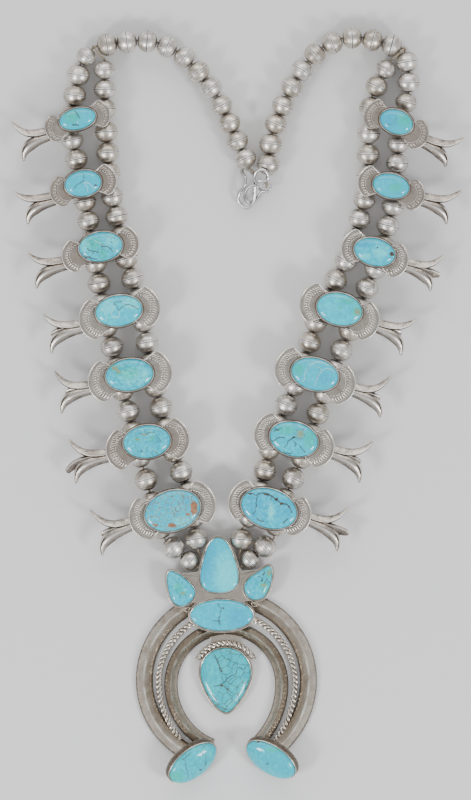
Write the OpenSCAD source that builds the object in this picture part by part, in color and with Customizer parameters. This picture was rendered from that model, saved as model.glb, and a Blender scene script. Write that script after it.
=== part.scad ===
// Squash blossom necklace lying flat, clasp fastened, seen from +Z.
// +Y points from the pendant to the clasp. Millimetres.

/* [Beads] */
// Largest diameter of a bead
bead_d = 10.4; // [9.8:0.1:10.4]
// Largest length of a bead along its string
bead_len = 9.4; // [8.8:0.1:9.4]
// Diameter of a bead over its length
bead_ratio = 1.12; // [1.08:0.01:1.12]
// Bore of a bead
bead_bore = 1.8; // [1.7:0.1:1.9]
// Space between two beads that follow each other
bead_gap = 0.12; // [0.10:0.01:0.20]
// Width of the seam that joins the two halves of a bead
seam_w = 0.5; // [0.4:0.1:0.7]
// Height of that seam above the halves
seam_h = 0.12; // [0.08:0.01:0.14]
// Thickness of the thread
thread_d = 0.9; // [0.7:0.1:1.0]

/* [Blossoms] */
// Thickness of a blossom's plate
plate_t = 1.2; // [1.0:0.1:1.4]
// Underside of the plates above the table
plate_z = 10.7; // [10.7:0.1:11.0]
// Half angle that a wing spreads over
wing_angle = 66; // [62:1:70]
// Slope of a wing's sides from its axis
wing_side = 33; // [28:1:40]
// Width of the raised rim of a wing
rim_w = 0.9; // [0.6:0.1:1.2]
// Height of the raised rim
rim_h = 0.45; // [0.3:0.05:0.6]
// Height of a bezel wall above its plate
bezel_h = 2.0; // [1.6:0.1:2.4]
// Thickness of a bezel wall
bezel_t = 0.6; // [0.5:0.1:0.7]
// Height of a stone above its plate
stone_h = 4.2; // [3.4:0.1:4.6]
// Space between a stone and its bezel and plate
stone_gap = 0.12; // [0.10:0.01:0.15]
// Thickness of the shanks that the thread goes through
shank_t = 1.0; // [0.8:0.1:1.1]
// Hole in a shank
shank_bore = 2.0; // [1.9:0.1:2.1]

/* [Pendant] */
// Height of the ridge of the crescents
ridge_h = 5.0; // [4.6:0.1:5.2]
// Width of the outer crescent
outer_w = 7.4; // [7.0:0.1:7.6]
// Width of the inner crescent
inner_w = 5.8; // [5.4:0.1:6.0]
// Thickness of the twisted wires
rope_d = 2.6; // [2.2:0.1:2.8]
// Thickness of the crown plate
crown_t = 1.2; // [1.0:0.1:1.4]
// Tilt of the two end cups out of the level
cup_tilt = 39; // [36:1:42]
// Depth of an end cup from its mouth to its back
cup_depth = 3.5; // [3.2:0.1:3.6]

/* [Clasp] */
// Thickness of the hook's wire
hook_d = 1.3; // [1.1:0.1:1.3]
// Thickness of the eye's wire
eye_d = 1.0; // [0.8:0.1:1.0]

/* [Hidden] */
// Columns of the blossom tables, in millimetres and degrees. The stone's middle is
// at X, Y. TILT is how far the outer end hangs down. OUT is the way from the stone's
// middle to the rim of a wing and CHORD is half of a wing's span. WING_Y, HOLD_Y and
// STEM_Y shift the outer wing, the shanks and the flower's stem along the blossom.
// HOLD_OUT and HOLD_IN place the shanks of the two strands. UP, LOW and MID are the tips
// of the flower's petals, with MID 0, 0 where no middle petal shows. FAR is how much
// further out the outer wing reaches than the inner one.
X = 0;
Y = 1;
TILT = 2;
STONE_L = 3;
STONE_W = 4;
OUT = 5;
CHORD = 6;
WING_Y = 7;
HOLD_OUT = 8;
HOLD_IN = 9;
HOLD_Y = 10;
STEM_Y = 11;
UP_X = 12;
UP_Y = 13;
LOW_X = 14;
LOW_Y = 15;
MID_X = 16;
MID_Y = 17;
FAR = 18;
LEFT = [
    [-69.3, 124.4, 13.0, 15.7, 8.9, 14.4, 6.5, -1.8, 4.2, -11.6, -3.0, -3.3,
        28.4, 5.4, 26.9, -12.3, 0, 0, 0.6],
    [-66.9, 96.4, 10.0, 15.7, 10.9, 14.8, 7.2, -1.8, 0.6, -11.2, -2.8, -4.2,
        30.2, 1.6, 26.6, -13.0, 0, 0, 0.2],
    [-59.2, 68.9, 9.0, 18.7, 12.4, 16.2, 7.6, -2.2, 3.4, -9.5, -1.5, -4.4,
        32.0, 2.4, 30.3, -13.3, 0, 0, 1.4],
    [-51.4, 41.1, 8.0, 20.0, 13.0, 17.6, 9.4, -2.2, 6.6, -9.7, -1.0, -4.3,
        32.9, 3.1, 31.6, -14.0, 29.8, -5.9, 0.3],
    [-46.8, 13.3, 6.5, 20.4, 13.5, 18.1, 9.5, -1.5, 4.5, -9.9, -1.1, -3.5,
        32.2, 5.2, 31.1, -13.1, 27.7, -4.3, 0.2],
    [-39.2, -15.7, 6.5, 20.2, 13.9, 18.0, 9.4, -2.2, 4.6, -9.6, -0.4, -3.9,
        33.6, 4.7, 32.7, -14.4, 35.6, -8.8, 0.3],
    [-28.1, -45.7, 17.0, 24.4, 17.0, 18.7, 10.0, 0.2, 7.5, -9.4, 0.1, 0.0,
        34.2, 10.7, 34.8, -9.6, 31.8, -0.8, 0.7],
];
RIGHT = [
    [69.1, 123.1, 20.0, 14.4, 10.0, 14.6, 7.2, -2.0, 2.4, -11.2, -3.6, -3.5,
        29.8, 3.5, 26.6, -10.9, 0, 0, 0.7],
    [66.8, 95.3, 12.0, 15.7, 10.2, 14.8, 7.3, -1.8, 2.9, -9.9, -3.0, -2.6,
        30.1, 4.5, 26.9, -11.0, 0, 0, 0.5],
    [59.7, 66.6, 15.0, 17.8, 11.5, 14.9, 8.1, -1.2, 2.7, -9.9, -1.4, -1.6,
        29.2, 6.2, 27.7, -10.0, 29.2, -2.3, 0.4],
    [44.4, 41.8, 14.0, 19.6, 13.5, 17.7, 9.1, -2.2, 7.3, -8.2, -2.6, -2.9,
        33.4, 4.0, 30.7, -12.8, 27.8, -3.7, 0.6],
    [33.7, 13.6, 15.0, 20.4, 13.5, 17.9, 9.4, -1.6, 6.6, -6.2, -1.5, -2.0,
        32.4, 8.3, 32.1, -10.7, 29.3, -2.8, 0.6],
    [24.6, -14.6, 15.0, 20.9, 14.4, 17.8, 9.1, -0.9, 6.4, -9.3, -1.3, -0.9,
        33.5, 7.7, 32.3, -10.7, 29.9, -2.3, 0.4],
    [13.8, -44.7, 18.0, 24.4, 16.5, 18.3, 9.4, 0.5, 4.5, -5.4, 0.2, 1.2,
        32.9, 11.3, 33.8, -8.4, 35.6, 0.4, 0.4],
];
COUNT = len(LEFT);

// Columns of a strand's table. BEADS is the number of beads on the stretch that ends
// at the point, and REST is the half width of what sits on the thread at the point.
Z = 2;
BEADS = 3;
REST = 4;
string_z = bead_d / 2;
// Height of the small beads that lie in the notches of the crown
small_z = 3.7;
crown_string_z = 2.5;
knot_rest = 1.5;
shank_play = 0.1;
shank_rest = shank_t / 2 + shank_play;
JOIN_LEFT = [-62.3, 155.9, string_z, 0, knot_rest];
JOIN_RIGHT = [72.7, 155.0, string_z, 0, knot_rest];
BACK_LEFT = [
    JOIN_LEFT,
    [-43.5, 158.7, string_z, 2, 0],
    [-34.6, 157.8, string_z, 1, 0],
    [-26.4, 154.2, string_z, 1, 0],
    [-19.7, 148.5, string_z, 1, 0],
    [-8.6, 134.5, string_z, 2, 0],
    [5.3, 103.5, string_z, 4, 0],
];
BACK_RIGHT = [
    JOIN_RIGHT,
    [54.4, 160.0, string_z, 2, 0],
    [45.5, 159.6, string_z, 1, 0],
    [37.1, 155.7, string_z, 1, 0],
    [30.6, 149.6, string_z, 1, 0],
    [21.4, 134.4, string_z, 2, 0],
    [15.1, 118.2, string_z, 2, 0],
    [13.0, 100.3, string_z, 2, 0],
];
OUTER_LEFT_TOP = [JOIN_LEFT, [-68.2, 148.3, string_z, 1, 0], [-69.9, 139.2, string_z, 1, 0]];
OUTER_RIGHT_TOP = [JOIN_RIGHT, [74.6, 144.9, string_z, 1, 0], [74.4, 135.9, string_z, 1, 0]];
// The inner strands leave their knot over the first beads of the other strands
over_z = 8.6;
over_right_z = 9.0;
INNER_LEFT_TOP = [
    JOIN_LEFT,
    [-60.6, 153.0, over_z, 0, 0],
    [-57.7, 150.8, string_z, 0, 0],
    [-57.7, 141.6, string_z, 1, 0],
];
INNER_RIGHT_TOP = [
    JOIN_RIGHT,
    [70.1, 152.7, over_right_z, 0, 0],
    [66.9, 150.0, string_z, 0, 0],
    [62.5, 142.6, string_z, 1, 0],
    [58.6, 134.6, string_z, 1, 0],
];
OUTER_LEFT_END = [
    [-31.4, -58.3, string_z, 1, 0],
    [-24.0, -64.9, string_z, 1, 0],
    [-17.6, -69.9, small_z, 1, 0],
    [-15.3, -72.0, crown_string_z, 0, shank_rest],
];
OUTER_RIGHT_END = [
    [15.9, -57.9, string_z, 1, 0],
    [8.4, -64.2, string_z, 1, 0],
    [2.4, -69.3, small_z, 1, 0],
    [0.1, -71.3, crown_string_z, 0, shank_rest],
];
INNER_LEFT_END = [
    [-18.6, -53.3, string_z, 1, 0],
    [-17.0, -62.9, string_z, 1, 0],
    [-13.9, -69.0, crown_string_z, 0, shank_rest],
];
INNER_RIGHT_END = [
    [2.3, -53.3, string_z, 1, 0],
    [1.5, -63.0, string_z, 1, 0],
    [-0.9, -68.7, crown_string_z, 0, shank_rest],
];

// Pendant: outlines round each stone's own middle
NAJA = [-4.7, -119.4];
NAJA_INNER = [-4.7, -121.2];
OUTER_R = 35.7;
INNER_R = 24.1;
OUTER_LEG_LEFT = 35.7;
OUTER_LEG_RIGHT = 38.5;
INNER_LEG_LEFT = 28.7;
INNER_LEG_RIGHT = 36.0;
OUTER_LEG_ANGLES = [75, 68];
INNER_LEG_ANGLES = [68, 60];
// Section of a crescent, and the angle between its stations
ridge_wall = 1.4;
ridge_flat = 0.6;
crescent_step = 6;
// Twisted wire between the crescents, and the arc of it over the drop
ROPE = [-4.5, -120.2];
ROPE_R = 29.6;
ROPE_LEG_LEFT = 38;
ROPE_LEG_RIGHT = 43;
ROPE_LEG_ANGLES = [42, 37];
ROPE_TOP_ANGLES = [70, 75];
ROPE_RISE = 4;
rope_lift = 0.3;
rope_z = rope_d / 2 + rope_lift;
rope_flat = 0.68;
rope_pitch = 1.9;
rope_turn = 54;
ARC_R = 14.2;
ARC_SHIFT = 1.6;
ARC_ANGLES = [146, 36];
arc_ball = 2.4;
PEAR = [[-0.9, 12.8], [3.0, 10.9], [5.9, 5.2], [8.0, -3.0], [6.7, -8.7], [0.7, -10.9],
    [-6.3, -9.4], [-8.2, -3.9], [-6.7, 3.9], [-4.4, 10.2]];
LEAF_LEFT = [[-4.6, 7.4], [-1.1, 6.3], [2.8, 3.5], [5.9, -0.4], [5.9, -3.5], [3.3, -6.5],
    [0.2, -7.6], [-3.3, -5.7], [-5.0, -0.9], [-5.7, 4.4]];
LEAF_RIGHT = [[4.4, 7.4], [5.7, 4.8], [5.4, 0.9], [4.1, -3.0], [2.0, -6.1], [-2.0, -7.0],
    [-5.0, -5.2], [-6.1, -1.7], [-4.1, 2.0], [0.2, 5.0]];
DROP = [[-0.4, 13.5], [5.2, 12.2], [9.6, 7.8], [10.7, 2.2], [8.7, -4.4], [5.2, -10.0],
    [1.2, -14.1], [-1.6, -13.6], [-4.8, -10.9], [-8.7, -4.8], [-10.9, 2.2], [-9.6, 8.3], [-5.7, 12.2]];
PEAR_AT = [-7.7, -70.3];
LEAF_LEFT_AT = [-24.7, -79.4];
LEAF_RIGHT_AT = [9.3, -77.2];
OVAL_AT = [-6.7, -91.1];
OVAL_SIZE = [27.0, 13.2];
DROP_AT = [-4.9, -119.0];
CUP_SIZE = [23.6, 14.4];
CUP_LEFT_AT = [-19.2, -155.4];
CUP_RIGHT_AT = [14.6, -153.9];
CUP_LEFT_TURN = 38;
CUP_RIGHT_TURN = -33;
// Filling of the crown plate between its settings
CROWN = [[-26.5, -73.0], [-17.2, -72.2], [-13.0, -66.0], [-2.5, -66.0], [2.2, -71.8], [11.0, -71.0],
    [7.0, -84.0], [-6.7, -89.0], [-21.0, -85.0]];
// The crown plate lies this far into the ridges, and the twisted wires end this far under it
crown_into = 0.6;
crown_z = ridge_h - crown_into;
rope_under = 0.4;
crown_margin = 0.4;
shank_w = 3.4;
notch_r = 4.6;
rope_top = crown_z - rope_under;
drop_z = 0.8;
DROP_NECK = [14.0, 7.2];
cup_rim = CUP_SIZE[1] / 2 + stone_gap + bezel_t;
cup_lift = 0.05;
cup_z = cup_rim * sin(cup_tilt) + cup_depth * cos(cup_tilt) + cup_lift;
cup_recess = 1.5;

// Clasp: points of the hook's wire from its hidden end to its curl
HOOK = [[6.9, 100.8, 5.2], [5.6, 102.3, 2.9], [3.6, 103.0, 1.2], [2.0, 101.8, 1.9],
    [3.1, 99.8, 3.8], [3.7, 98.1, 4.5], [2.9, 95.0, 4.1], [1.0, 92.6, 3.5], [0.4, 89.8, 2.9],
    [1.8, 87.2, 2.5], [4.0, 85.9, 2.5], [6.2, 87.2, 2.9], [7.4, 89.8, 3.7], [7.7, 93.3, 5.0],
    [7.7, 96.4, 6.3], [7.6, 99.6, 8.2], [8.6, 101.7, 9.3], [10.6, 102.5, 10.0], [12.6, 101.6, 10.1],
    [13.6, 99.4, 9.7], [12.6, 97.7, 9.3], [10.5, 97.3, 8.9], [9.2, 97.7, 8.7]];
// Points of the eye's wire: the long loop round the hook, then the small ring
EYE = [[10.4, 93.6, 5.4], [8.8, 94.9, 7.2], [6.9, 95.6, 7.6], [5.0, 94.9, 7.0], [3.6, 92.8, 5.6],
    [3.3, 90.8, 4.2], [3.9, 89.2, 3.0], [5.6, 88.5, 2.2], [7.8, 89.4, 1.9], [9.4, 91.4, 2.8],
    [10.9, 93.2, 4.0], [12.9, 92.8, 4.6], [14.3, 93.9, 4.9], [14.2, 95.8, 5.1], [12.7, 96.5, 5.2],
    [11.3, 95.7, 5.2]];

// Ends of the thread at the clasp, tied round the hook's bend and the small ring
LEFT_TAIL = [[5.9, 102.2, 5.2], [7.0, 101.9, 5.9], [8.1, 100.9, 5.5]];
RIGHT_TAIL = [[12.9, 97.6, 6.4], [12.9, 96.4, 6.4], [12.8, 94.8, 5.4]];
tail_l = 0.9;

// Half widths and half heights along the petals of a flower, from the stem to the tip
UPPER_W = [1.7, 1.75, 1.8, 1.7, 1.45, 1.05, 0.4];
UPPER_H = [2.1, 2.0, 1.9, 1.6, 1.2, 0.8, 0.35];
LOWER_W = [1.8, 2.0, 2.3, 2.6, 2.3, 1.5, 0.45];
LOWER_H = [2.1, 2.1, 2.1, 1.9, 1.5, 1.0, 0.4];
MIDDLE_W = [1.4, 1.8, 2.0, 1.9, 1.3];
MIDDLE_H = [1.4, 1.5, 1.4, 1.2, 0.7];
petal_sides = 8;
// The stem starts this far inside the wing's rim and its axis lies this far under the plate
stem_in = 1.6;
stem_drop = 1.6;
// Where each petal starts, from the head of the stem, and two points that pull its curve: the
// share of its run, then how far they lie beside and above the stem
UPPER_START = [0, 1.3, 0];
UPPER_PULL = [[0.45, 1.1, 0], [0.72, 0.6, -0.6]];
LOWER_START = [0, -1.3, 0];
LOWER_PULL = [[0.55, -1.9, 0], [0.94, -2.6, -0.6]];
MIDDLE_START = [4, -0.6, -0.6];
MIDDLE_PULL = [[0.5, -0.8, -0.6], [0.8, -1.0, -1.0]];
// How far the tips hang under the axis of the stem
upper_sink = 1.0;
lower_sink = 1.8;
middle_sink = 1.4;

// Share of a wing's radius where the twisted line of its stamps runs
wing_line = 0.66;
line_share = 0.8;
line_w = rim_w * line_share;
plate_border = 0.4;
// Twice the way from a stone to the middle of its bezel's wall
seat = 2 * stone_gap + bezel_t;
wall_share = 0.8;
crown_stone_share = 0.9;
crown_stone_h = stone_h * crown_stone_share;
tip_stone_more = 0.6;
tip_stone_h = stone_h + tip_stone_more;
dome_angle = 78;
mouth_wall = 0.5;

facets = 32;
stone_steps = 3;
wire_sides = 6;
knot_sides = 12;
ball_sides = 24;
bore_sides = 32;
turned_sides = 48;
wing_sides = 64;
eps = 0.01;

SIDES = ["left", "right"];
NUMBERS = [for (i = [1 : COUNT]) i];

// Plain helpers
function at(p, z) = [p[0], p[1], z];
function mix(a, b, t) = a * (1 - t) + b * t;
function unit(v) = v / norm(v);
function table(side) = side < 0 ? LEFT : RIGHT;

// A point of a blossom's own frame, where x runs out along the stone
function placed(side, b, x, y) = [
    b[X] + side * (x * cos(b[TILT]) + y * sin(b[TILT])),
    b[Y] - x * sin(b[TILT]) + y * cos(b[TILT])
];

// Cubic curve through four control points
function curve(a, b, c, d, t) =
    a * pow(1 - t, 3) + b * 3 * t * pow(1 - t, 2) + c * 3 * t * t * (1 - t) + d * pow(t, 3);

// Smooth step between p1 and p2 of a run of four points
function blend(p0, p1, p2, p3, t) =
    0.5 * (2 * p1 + (p2 - p0) * t + (2 * p0 - 5 * p1 + 4 * p2 - p3) * t * t
    + (3 * p1 - p0 - 3 * p2 + p3) * t * t * t);

// Smooth closed outline through a few points
function smooth_loop(p, n) = [
    for (i = [0 : len(p) - 1]) for (k = [0 : n - 1])
        blend(p[(i + len(p) - 1) % len(p)], p[i], p[(i + 1) % len(p)], p[(i + 2) % len(p)], k / n)
];

// Smooth open line through a few points
function smooth_line(p, n) = concat(
    [for (i = [0 : len(p) - 2]) for (k = [0 : n - 1])
        blend(p[max(i - 1, 0)], p[i], p[i + 1], p[min(i + 2, len(p) - 1)], k / n)],
    [p[len(p) - 1]]
);

function oval(l, w) = [
    for (i = [0 : facets - 1]) let (a = 360 * i / facets) [l / 2 * cos(a), w / 2 * sin(a)]
];

// Path of the twisted wire over the drop
arc_path = arc([DROP_AT[0], DROP_AT[1] + ARC_SHIFT], ARC_R, ARC_ANGLES[0], ARC_ANGLES[1],
    drop_z + crown_t + rope_d / 2 * rope_flat);

// An outline grown by a margin, away from its middle along its own edges
function grown(p, margin) = [
    for (i = [0 : len(p) - 1])
        let (d = unit(p[(i + 1) % len(p)] - p[(i + len(p) - 1) % len(p)]))
        let (turn = cross(p[0], p[1]) > 0 ? 1 : -1)
        p[i] + margin * turn * [d[1], -d[0]]
];

// A wire or horn swept along a path, with a half width and a half height at each point
module sweep(path, wide, high, sides, turn = 0) {
    last = len(path) - 1;
    rings = [for (i = [0 : last])
        let (d = unit(path[min(i + 1, last)] - path[max(i - 1, 0)]))
        let (across = unit(cross([0, 0, 1], d)))
        let (up = cross(d, across))
        for (k = [0 : sides - 1])
            let (a = 360 * k / sides)
            let (u = wide[i] * cos(a))
            let (v = high[i] * sin(a))
            path[i] + across * (u * cos(turn * i) - v * sin(turn * i))
                + up * (u * sin(turn * i) + v * cos(turn * i))
    ];
    skin(rings, sides);
}

// Closed skin over rings of the same number of points
module skin(rings, sides) {
    last = len(rings) / sides - 1;
    walls = [for (i = [0 : last - 1]) for (k = [0 : sides - 1])
        let (a = i * sides + k)
        let (b = i * sides + (k + 1) % sides)
        for (f = [[a, b, b + sides], [a, b + sides, a + sides]]) f
    ];
    ends = [
        [for (k = [sides - 1 : -1 : 0]) k],
        [for (k = [0 : sides - 1]) last * sides + k]
    ];
    faces = concat(walls, ends);
    polyhedron(points = rings, faces = [for (f = faces) [for (k = [len(f) - 1 : -1 : 0]) f[k]]]);
}

module wire(path, d, sides) {
    sweep(path, [for (p = path) d / 2], [for (p = path) d / 2], sides);
}

// A polished stone: a low wall that the bezel holds, then a dome
module cabochon(outline, h, wall) {
    n = len(outline);
    steps = concat([[1, 0], [1, wall]],
        [for (k = [1 : stone_steps]) let (a = dome_angle * k / stone_steps)
            [cos(a), wall + (h - wall) * sin(a) / sin(dome_angle)]]);
    last = len(steps) - 1;
    pts = [for (s = steps) for (p = outline) [p[0] * s[0], p[1] * s[0], s[1]]];
    walls = [for (i = [0 : last - 1]) for (k = [0 : n - 1])
        let (a = i * n + k)
        let (b = i * n + (k + 1) % n)
        for (f = [[a, b, b + n], [a, b + n, a + n]]) f
    ];
    ends = [[for (k = [n - 1 : -1 : 0]) k], [for (k = [0 : n - 1]) last * n + k]];
    ccw = cross(outline[0], outline[1]) > 0;
    faces = concat(walls, ends);
    polyhedron(points = pts, faces = [for (f = faces) ccw ? [for (k = [len(f) - 1 : -1 : 0]) f[k]] : f]);
}

module slab(outline, z, h) {
    translate([0, 0, z]) linear_extrude(h) polygon(outline);
}

module bezel(outline, z, h) {
    translate([0, 0, z]) linear_extrude(h) difference() {
        polygon(grown(outline, stone_gap + bezel_t));
        polygon(grown(outline, stone_gap));
    }
}

module sided(side) {
    if (side < 0) mirror([1, 0, 0]) children();
    else children();
}

// Beads: two domed halves and the seam between them, drilled through
module bead(length, d) {
    half = length / 2;
    mouth = bead_bore / 2 + mouth_wall;
    r = d / 2;
    inner = (r * r - mouth * mouth - half * half) / (2 * (r - mouth));
    rotate_extrude($fn = turned_sides) difference() {
        union() {
            intersection() {
                translate([inner, 0]) circle(r = r - inner, $fn = turned_sides);
                translate([0, -half]) square([r, length]);
            }
            translate([0, -seam_w / 2]) square([r + seam_h, seam_w]);
        }
        translate([-r, -length]) square([r + bead_bore / 2, 2 * length]);
    }
}

function spot(knot) = [knot[X], knot[Y], knot[Z]];

// Room that a bead needs before point i of a strand, where the thread bends
function rest(knots, i) = i == 0 || i == len(knots) - 1 ? knots[i][REST] :
    let (before = unit(spot(knots[i]) - spot(knots[i - 1])))
    let (after = unit(spot(knots[i + 1]) - spot(knots[i])))
    let (bend = acos(min(1, before * after)))
    knots[i][REST] + (bead_bore / 2 + mouth_wall) * tan(bend / 2) + 2 * eps;

// The beads of a strand's table
module beads(knots) {
    for (i = [1 : len(knots) - 1]) if (knots[i][BEADS] > 0) {
        a = spot(knots[i - 1]);
        b = spot(knots[i]);
        d = unit(b - a);
        from = a + d * rest(knots, i - 1);
        to = b - d * rest(knots, i);
        n = knots[i][BEADS];
        length = min(norm(to - from) / n - bead_gap, bead_len);
        size = min(length * bead_ratio, bead_d) - 2 * seam_h;
        for (k = [0 : n - 1]) translate(mix(from, to, (k + 0.5) / n))
            rotate([0, acos(d[2]), atan2(d[1], d[0])]) bead(length, size);
    }
}

// Points of a strand at the shanks of the blossoms
function middle_knots(side, hold, first = 2) = [
    for (i = [0 : COUNT - 1])
        let (b = table(side)[i])
        let (p = placed(side, b, b[hold], b[HOLD_Y]))
        [p[0], p[1], string_z, i == 0 ? first : 3, shank_rest]
];
OUTER_LEFT = concat(OUTER_LEFT_TOP, middle_knots(-1, HOLD_OUT), OUTER_LEFT_END);
OUTER_RIGHT = concat(OUTER_RIGHT_TOP, middle_knots(1, HOLD_OUT), OUTER_RIGHT_END);
INNER_LEFT = concat(INNER_LEFT_TOP, middle_knots(-1, HOLD_IN), INNER_LEFT_END);
INNER_RIGHT = concat(INNER_RIGHT_TOP, middle_knots(1, HOLD_IN, 1), INNER_RIGHT_END);

// Turn of a shank that sets it square to its strand, in the frame of blossom i
function lean(side, i, hold) =
    let (outer = hold == HOLD_OUT)
    let (knots = side < 0 ? (outer ? OUTER_LEFT : INNER_LEFT) : (outer ? OUTER_RIGHT : INNER_RIGHT))
    let (k = len(knots) - len(outer ? OUTER_LEFT_END : INNER_LEFT_END) - COUNT + i)
    let (d = unit(unit(spot(knots[k]) - spot(knots[k - 1])) + unit(spot(knots[k + 1]) - spot(knots[k]))))
    let (tilt = table(side)[i][TILT])
    atan2(side * d[0] * cos(tilt) - d[1] * sin(tilt), -side * d[0] * sin(tilt) - d[1] * cos(tilt));

// Thread: three strands from one knot
module thread(back, outer, inner, tail) {
    color("#8a7a5c") union() {
        for (k = [outer, inner]) wire(thread_path(k, [past(k)]), thread_d, wire_sides);
        wire(thread_path(back, tail), thread_d, wire_sides);
        translate(at(back[0], string_z)) sphere(d = 2 * thread_d, $fn = knot_sides);
    }
}

function thread_path(knots, tail) = concat([for (k = knots) spot(k)], tail);

// A point just past the last shank of a strand
function past(knots) =
    let (a = knots[len(knots) - 2])
    let (b = knots[len(knots) - 1])
    let (d = unit([b[X] - a[X], b[Y] - a[Y], 0]))
    spot(b) + tail_l * d;

// Shank: a flat ear under a plate, drilled along the thread
module shank(z, top, across) {
    difference() {
        translate([0, 0, (z - across / 2 + top) / 2])
            cube([across, shank_t, top - z + across / 2], center = true);
        translate([0, 0, z]) rotate([90, 0, 0])
            cylinder(h = 3 * shank_t, d = shank_bore, center = true, $fn = bore_sides);
    }
}

// Flat outline of a wing with its middle at the origin, opening along x. Its sides run from the
// corners of the arc to a point under the stone.
module wing_fan(r) {
    corner = r * [cos(wing_angle), sin(wing_angle)];
    tip = corner[0] - corner[1] / tan(wing_side);
    spread = (2 * r - tip) / (corner[0] - tip);
    intersection() {
        circle(r = r, $fn = wing_sides);
        polygon([[tip, 0], [2 * r, -spread * corner[1]], [2 * r, spread * corner[1]]]);
    }
}

module wing(b, far, side) {
    r = b[CHORD] / sin(wing_angle);
    line_r = r * wing_line;
    translate([b[OUT] + far - r, side, plate_z]) difference() {
        linear_extrude(plate_t + rim_h) wing_fan(r);
        translate([0, 0, plate_t]) {
            cylinder(h = 2 * rim_h, r = line_r - line_w, $fn = wing_sides);
            difference() {
                cylinder(h = 2 * rim_h, r = r - rim_w, $fn = wing_sides);
                cylinder(h = 2 * rim_h, r = line_r, $fn = wing_sides);
            }
        }
    }
}

// Petal of the flower: a curved horn that narrows to its tip
module petal(b, start, pull, tip, wide, high) {
    stem = [b[OUT] - stem_in, b[STEM_Y], plate_z - stem_drop];
    run = tip[0] - stem[0];
    pulls = [for (p = pull) stem + [p[0] * run, p[1], p[2]]];
    n = len(wide) - 1;
    sweep([for (i = [0 : n]) curve(stem + start, pulls[0], pulls[1], tip, i / n)], wide, high, petal_sides);
}

module flower(b) {
    z = plate_z - stem_drop;
    petal(b, UPPER_START, UPPER_PULL, [b[UP_X], b[UP_Y], z - upper_sink], UPPER_W, UPPER_H);
    petal(b, LOWER_START, LOWER_PULL, [b[LOW_X], b[LOW_Y], z - lower_sink], LOWER_W, LOWER_H);
    if (b[MID_X] > 0)
        petal(b, MIDDLE_START, MIDDLE_PULL, [b[MID_X], b[MID_Y], z - middle_sink], MIDDLE_W, MIDDLE_H);
}

// Blossom: plate, two wings, bezel, shanks and flower, soldered into one piece
module blossom(side, i) {
    b = table(side)[i];
    stone = oval(b[STONE_L], b[STONE_W]);
    border = stone_gap + bezel_t + plate_border;
    color("#b5ab9f") translate([b[X], b[Y], 0]) sided(side) rotate(-b[TILT]) union() {
        difference() {
            union() {
                wing(b, b[FAR], b[WING_Y]);
                mirror([1, 0, 0]) wing(b, 0, 0);
            }
            slab(oval(b[STONE_L] + seat, b[STONE_W] + seat), plate_z + plate_t, 2 * rim_h);
        }
        slab(oval(b[STONE_L] + 2 * border, b[STONE_W] + 2 * border), plate_z, plate_t);
        bezel(stone, plate_z + plate_t - eps, bezel_h);
        for (hold = [HOLD_OUT, HOLD_IN]) translate([b[hold], b[HOLD_Y], 0])
            rotate(lean(side, i, hold)) shank(string_z, plate_z + eps, shank_w);
        flower(b);
    }
}

module blossom_stone(side, b) {
    color("#35c3d2") translate([b[X], b[Y], plate_z + plate_t + stone_gap]) sided(side) rotate(-b[TILT])
        cabochon(oval(b[STONE_L], b[STONE_W]), stone_h, bezel_h * wall_share);
}

// Crescent: an upper half round, then a leg on each side with a radius of its own
module crescent(middle, r, w, leg_left, leg_right, leg_angle) {
    section = ridge(w);
    stations = concat(
        [for (a = turns(-leg_angle[1], 0)) [r - leg_right, leg_right, a]],
        [for (a = turns(0, 180)) [0, r, a]],
        [for (a = turns(180, 180 + leg_angle[0])) [leg_left - r, leg_left, a]],
        [[leg_left - r, leg_left, 180 + leg_angle[0]]]
    );
    translate(at(middle, 0)) skin([for (s = stations) for (p = section)
        [s[0] + (s[1] + p[0]) * cos(s[2]), (s[1] + p[0]) * sin(s[2]), p[1]]], len(section));
}

// Angles from one to another in equal steps, without the last
function turns(from, to) =
    let (n = ceil((to - from) / crescent_step))
    [for (i = [0 : n - 1]) from + (to - from) * i / n];

// Section of a crescent, from its inner edge over the ridge to its outer edge
function ridge(w) = [[-w / 2, 0], [-w / 2, ridge_wall], [-ridge_flat / 2, ridge_h],
    [ridge_flat / 2, ridge_h], [w / 2, ridge_wall], [w / 2, 0]];

// Twisted wire: a flat section that turns as it runs
module rope(path) {
    high = rope_d / 2 * rope_flat;
    sweep(path, [for (p = path) rope_d / 2], [for (p = path) high], wire_sides, rope_turn);
}

// Points of an arc at the pitch of the twisted wire
function arc(middle, r, from, to, z) =
    let (n = round(abs(to - from) * PI / 180 * r / rope_pitch))
    [for (i = [0 : n]) let (a = from + (to - from) * i / n)
        [middle[0] + r * cos(a), middle[1] + r * sin(a), z]];

// One side of the twisted wire: from its end cup up to the crown plate, where it is soldered
function rope_side(side, leg, leg_angle, top_angle) =
    let (low = arc([ROPE_R - leg, 0], leg, -leg_angle, 0, rope_z))
    let (high = arc([0, 0], ROPE_R, 0, top_angle, rope_z))
    let (n = len(high))
    let (rise = (rope_top - rope_z) / ROPE_RISE)
    let (run = concat(low, [for (i = [1 : n - 1]) high[i] + [0, 0, max(0, i + 1 + ROPE_RISE - n) * rise]]))
    [for (p = run) [ROPE[0] + side * p[0], ROPE[1] + p[1], p[2]]];

// Frame of an end cup: the mouth lies in the plane z = 0
module cup_frame(place, turn) {
    translate(at(place, cup_z)) rotate(turn) rotate([cup_tilt, 0, 0]) children();
}

module cup_body(place, turn) {
    cup_frame(place, turn) difference() {
        slab(grown(oval(CUP_SIZE[0], CUP_SIZE[1]), stone_gap + bezel_t), -cup_depth, cup_depth);
        slab(grown(oval(CUP_SIZE[0], CUP_SIZE[1]), stone_gap), -cup_recess, cup_depth);
    }
}

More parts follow.
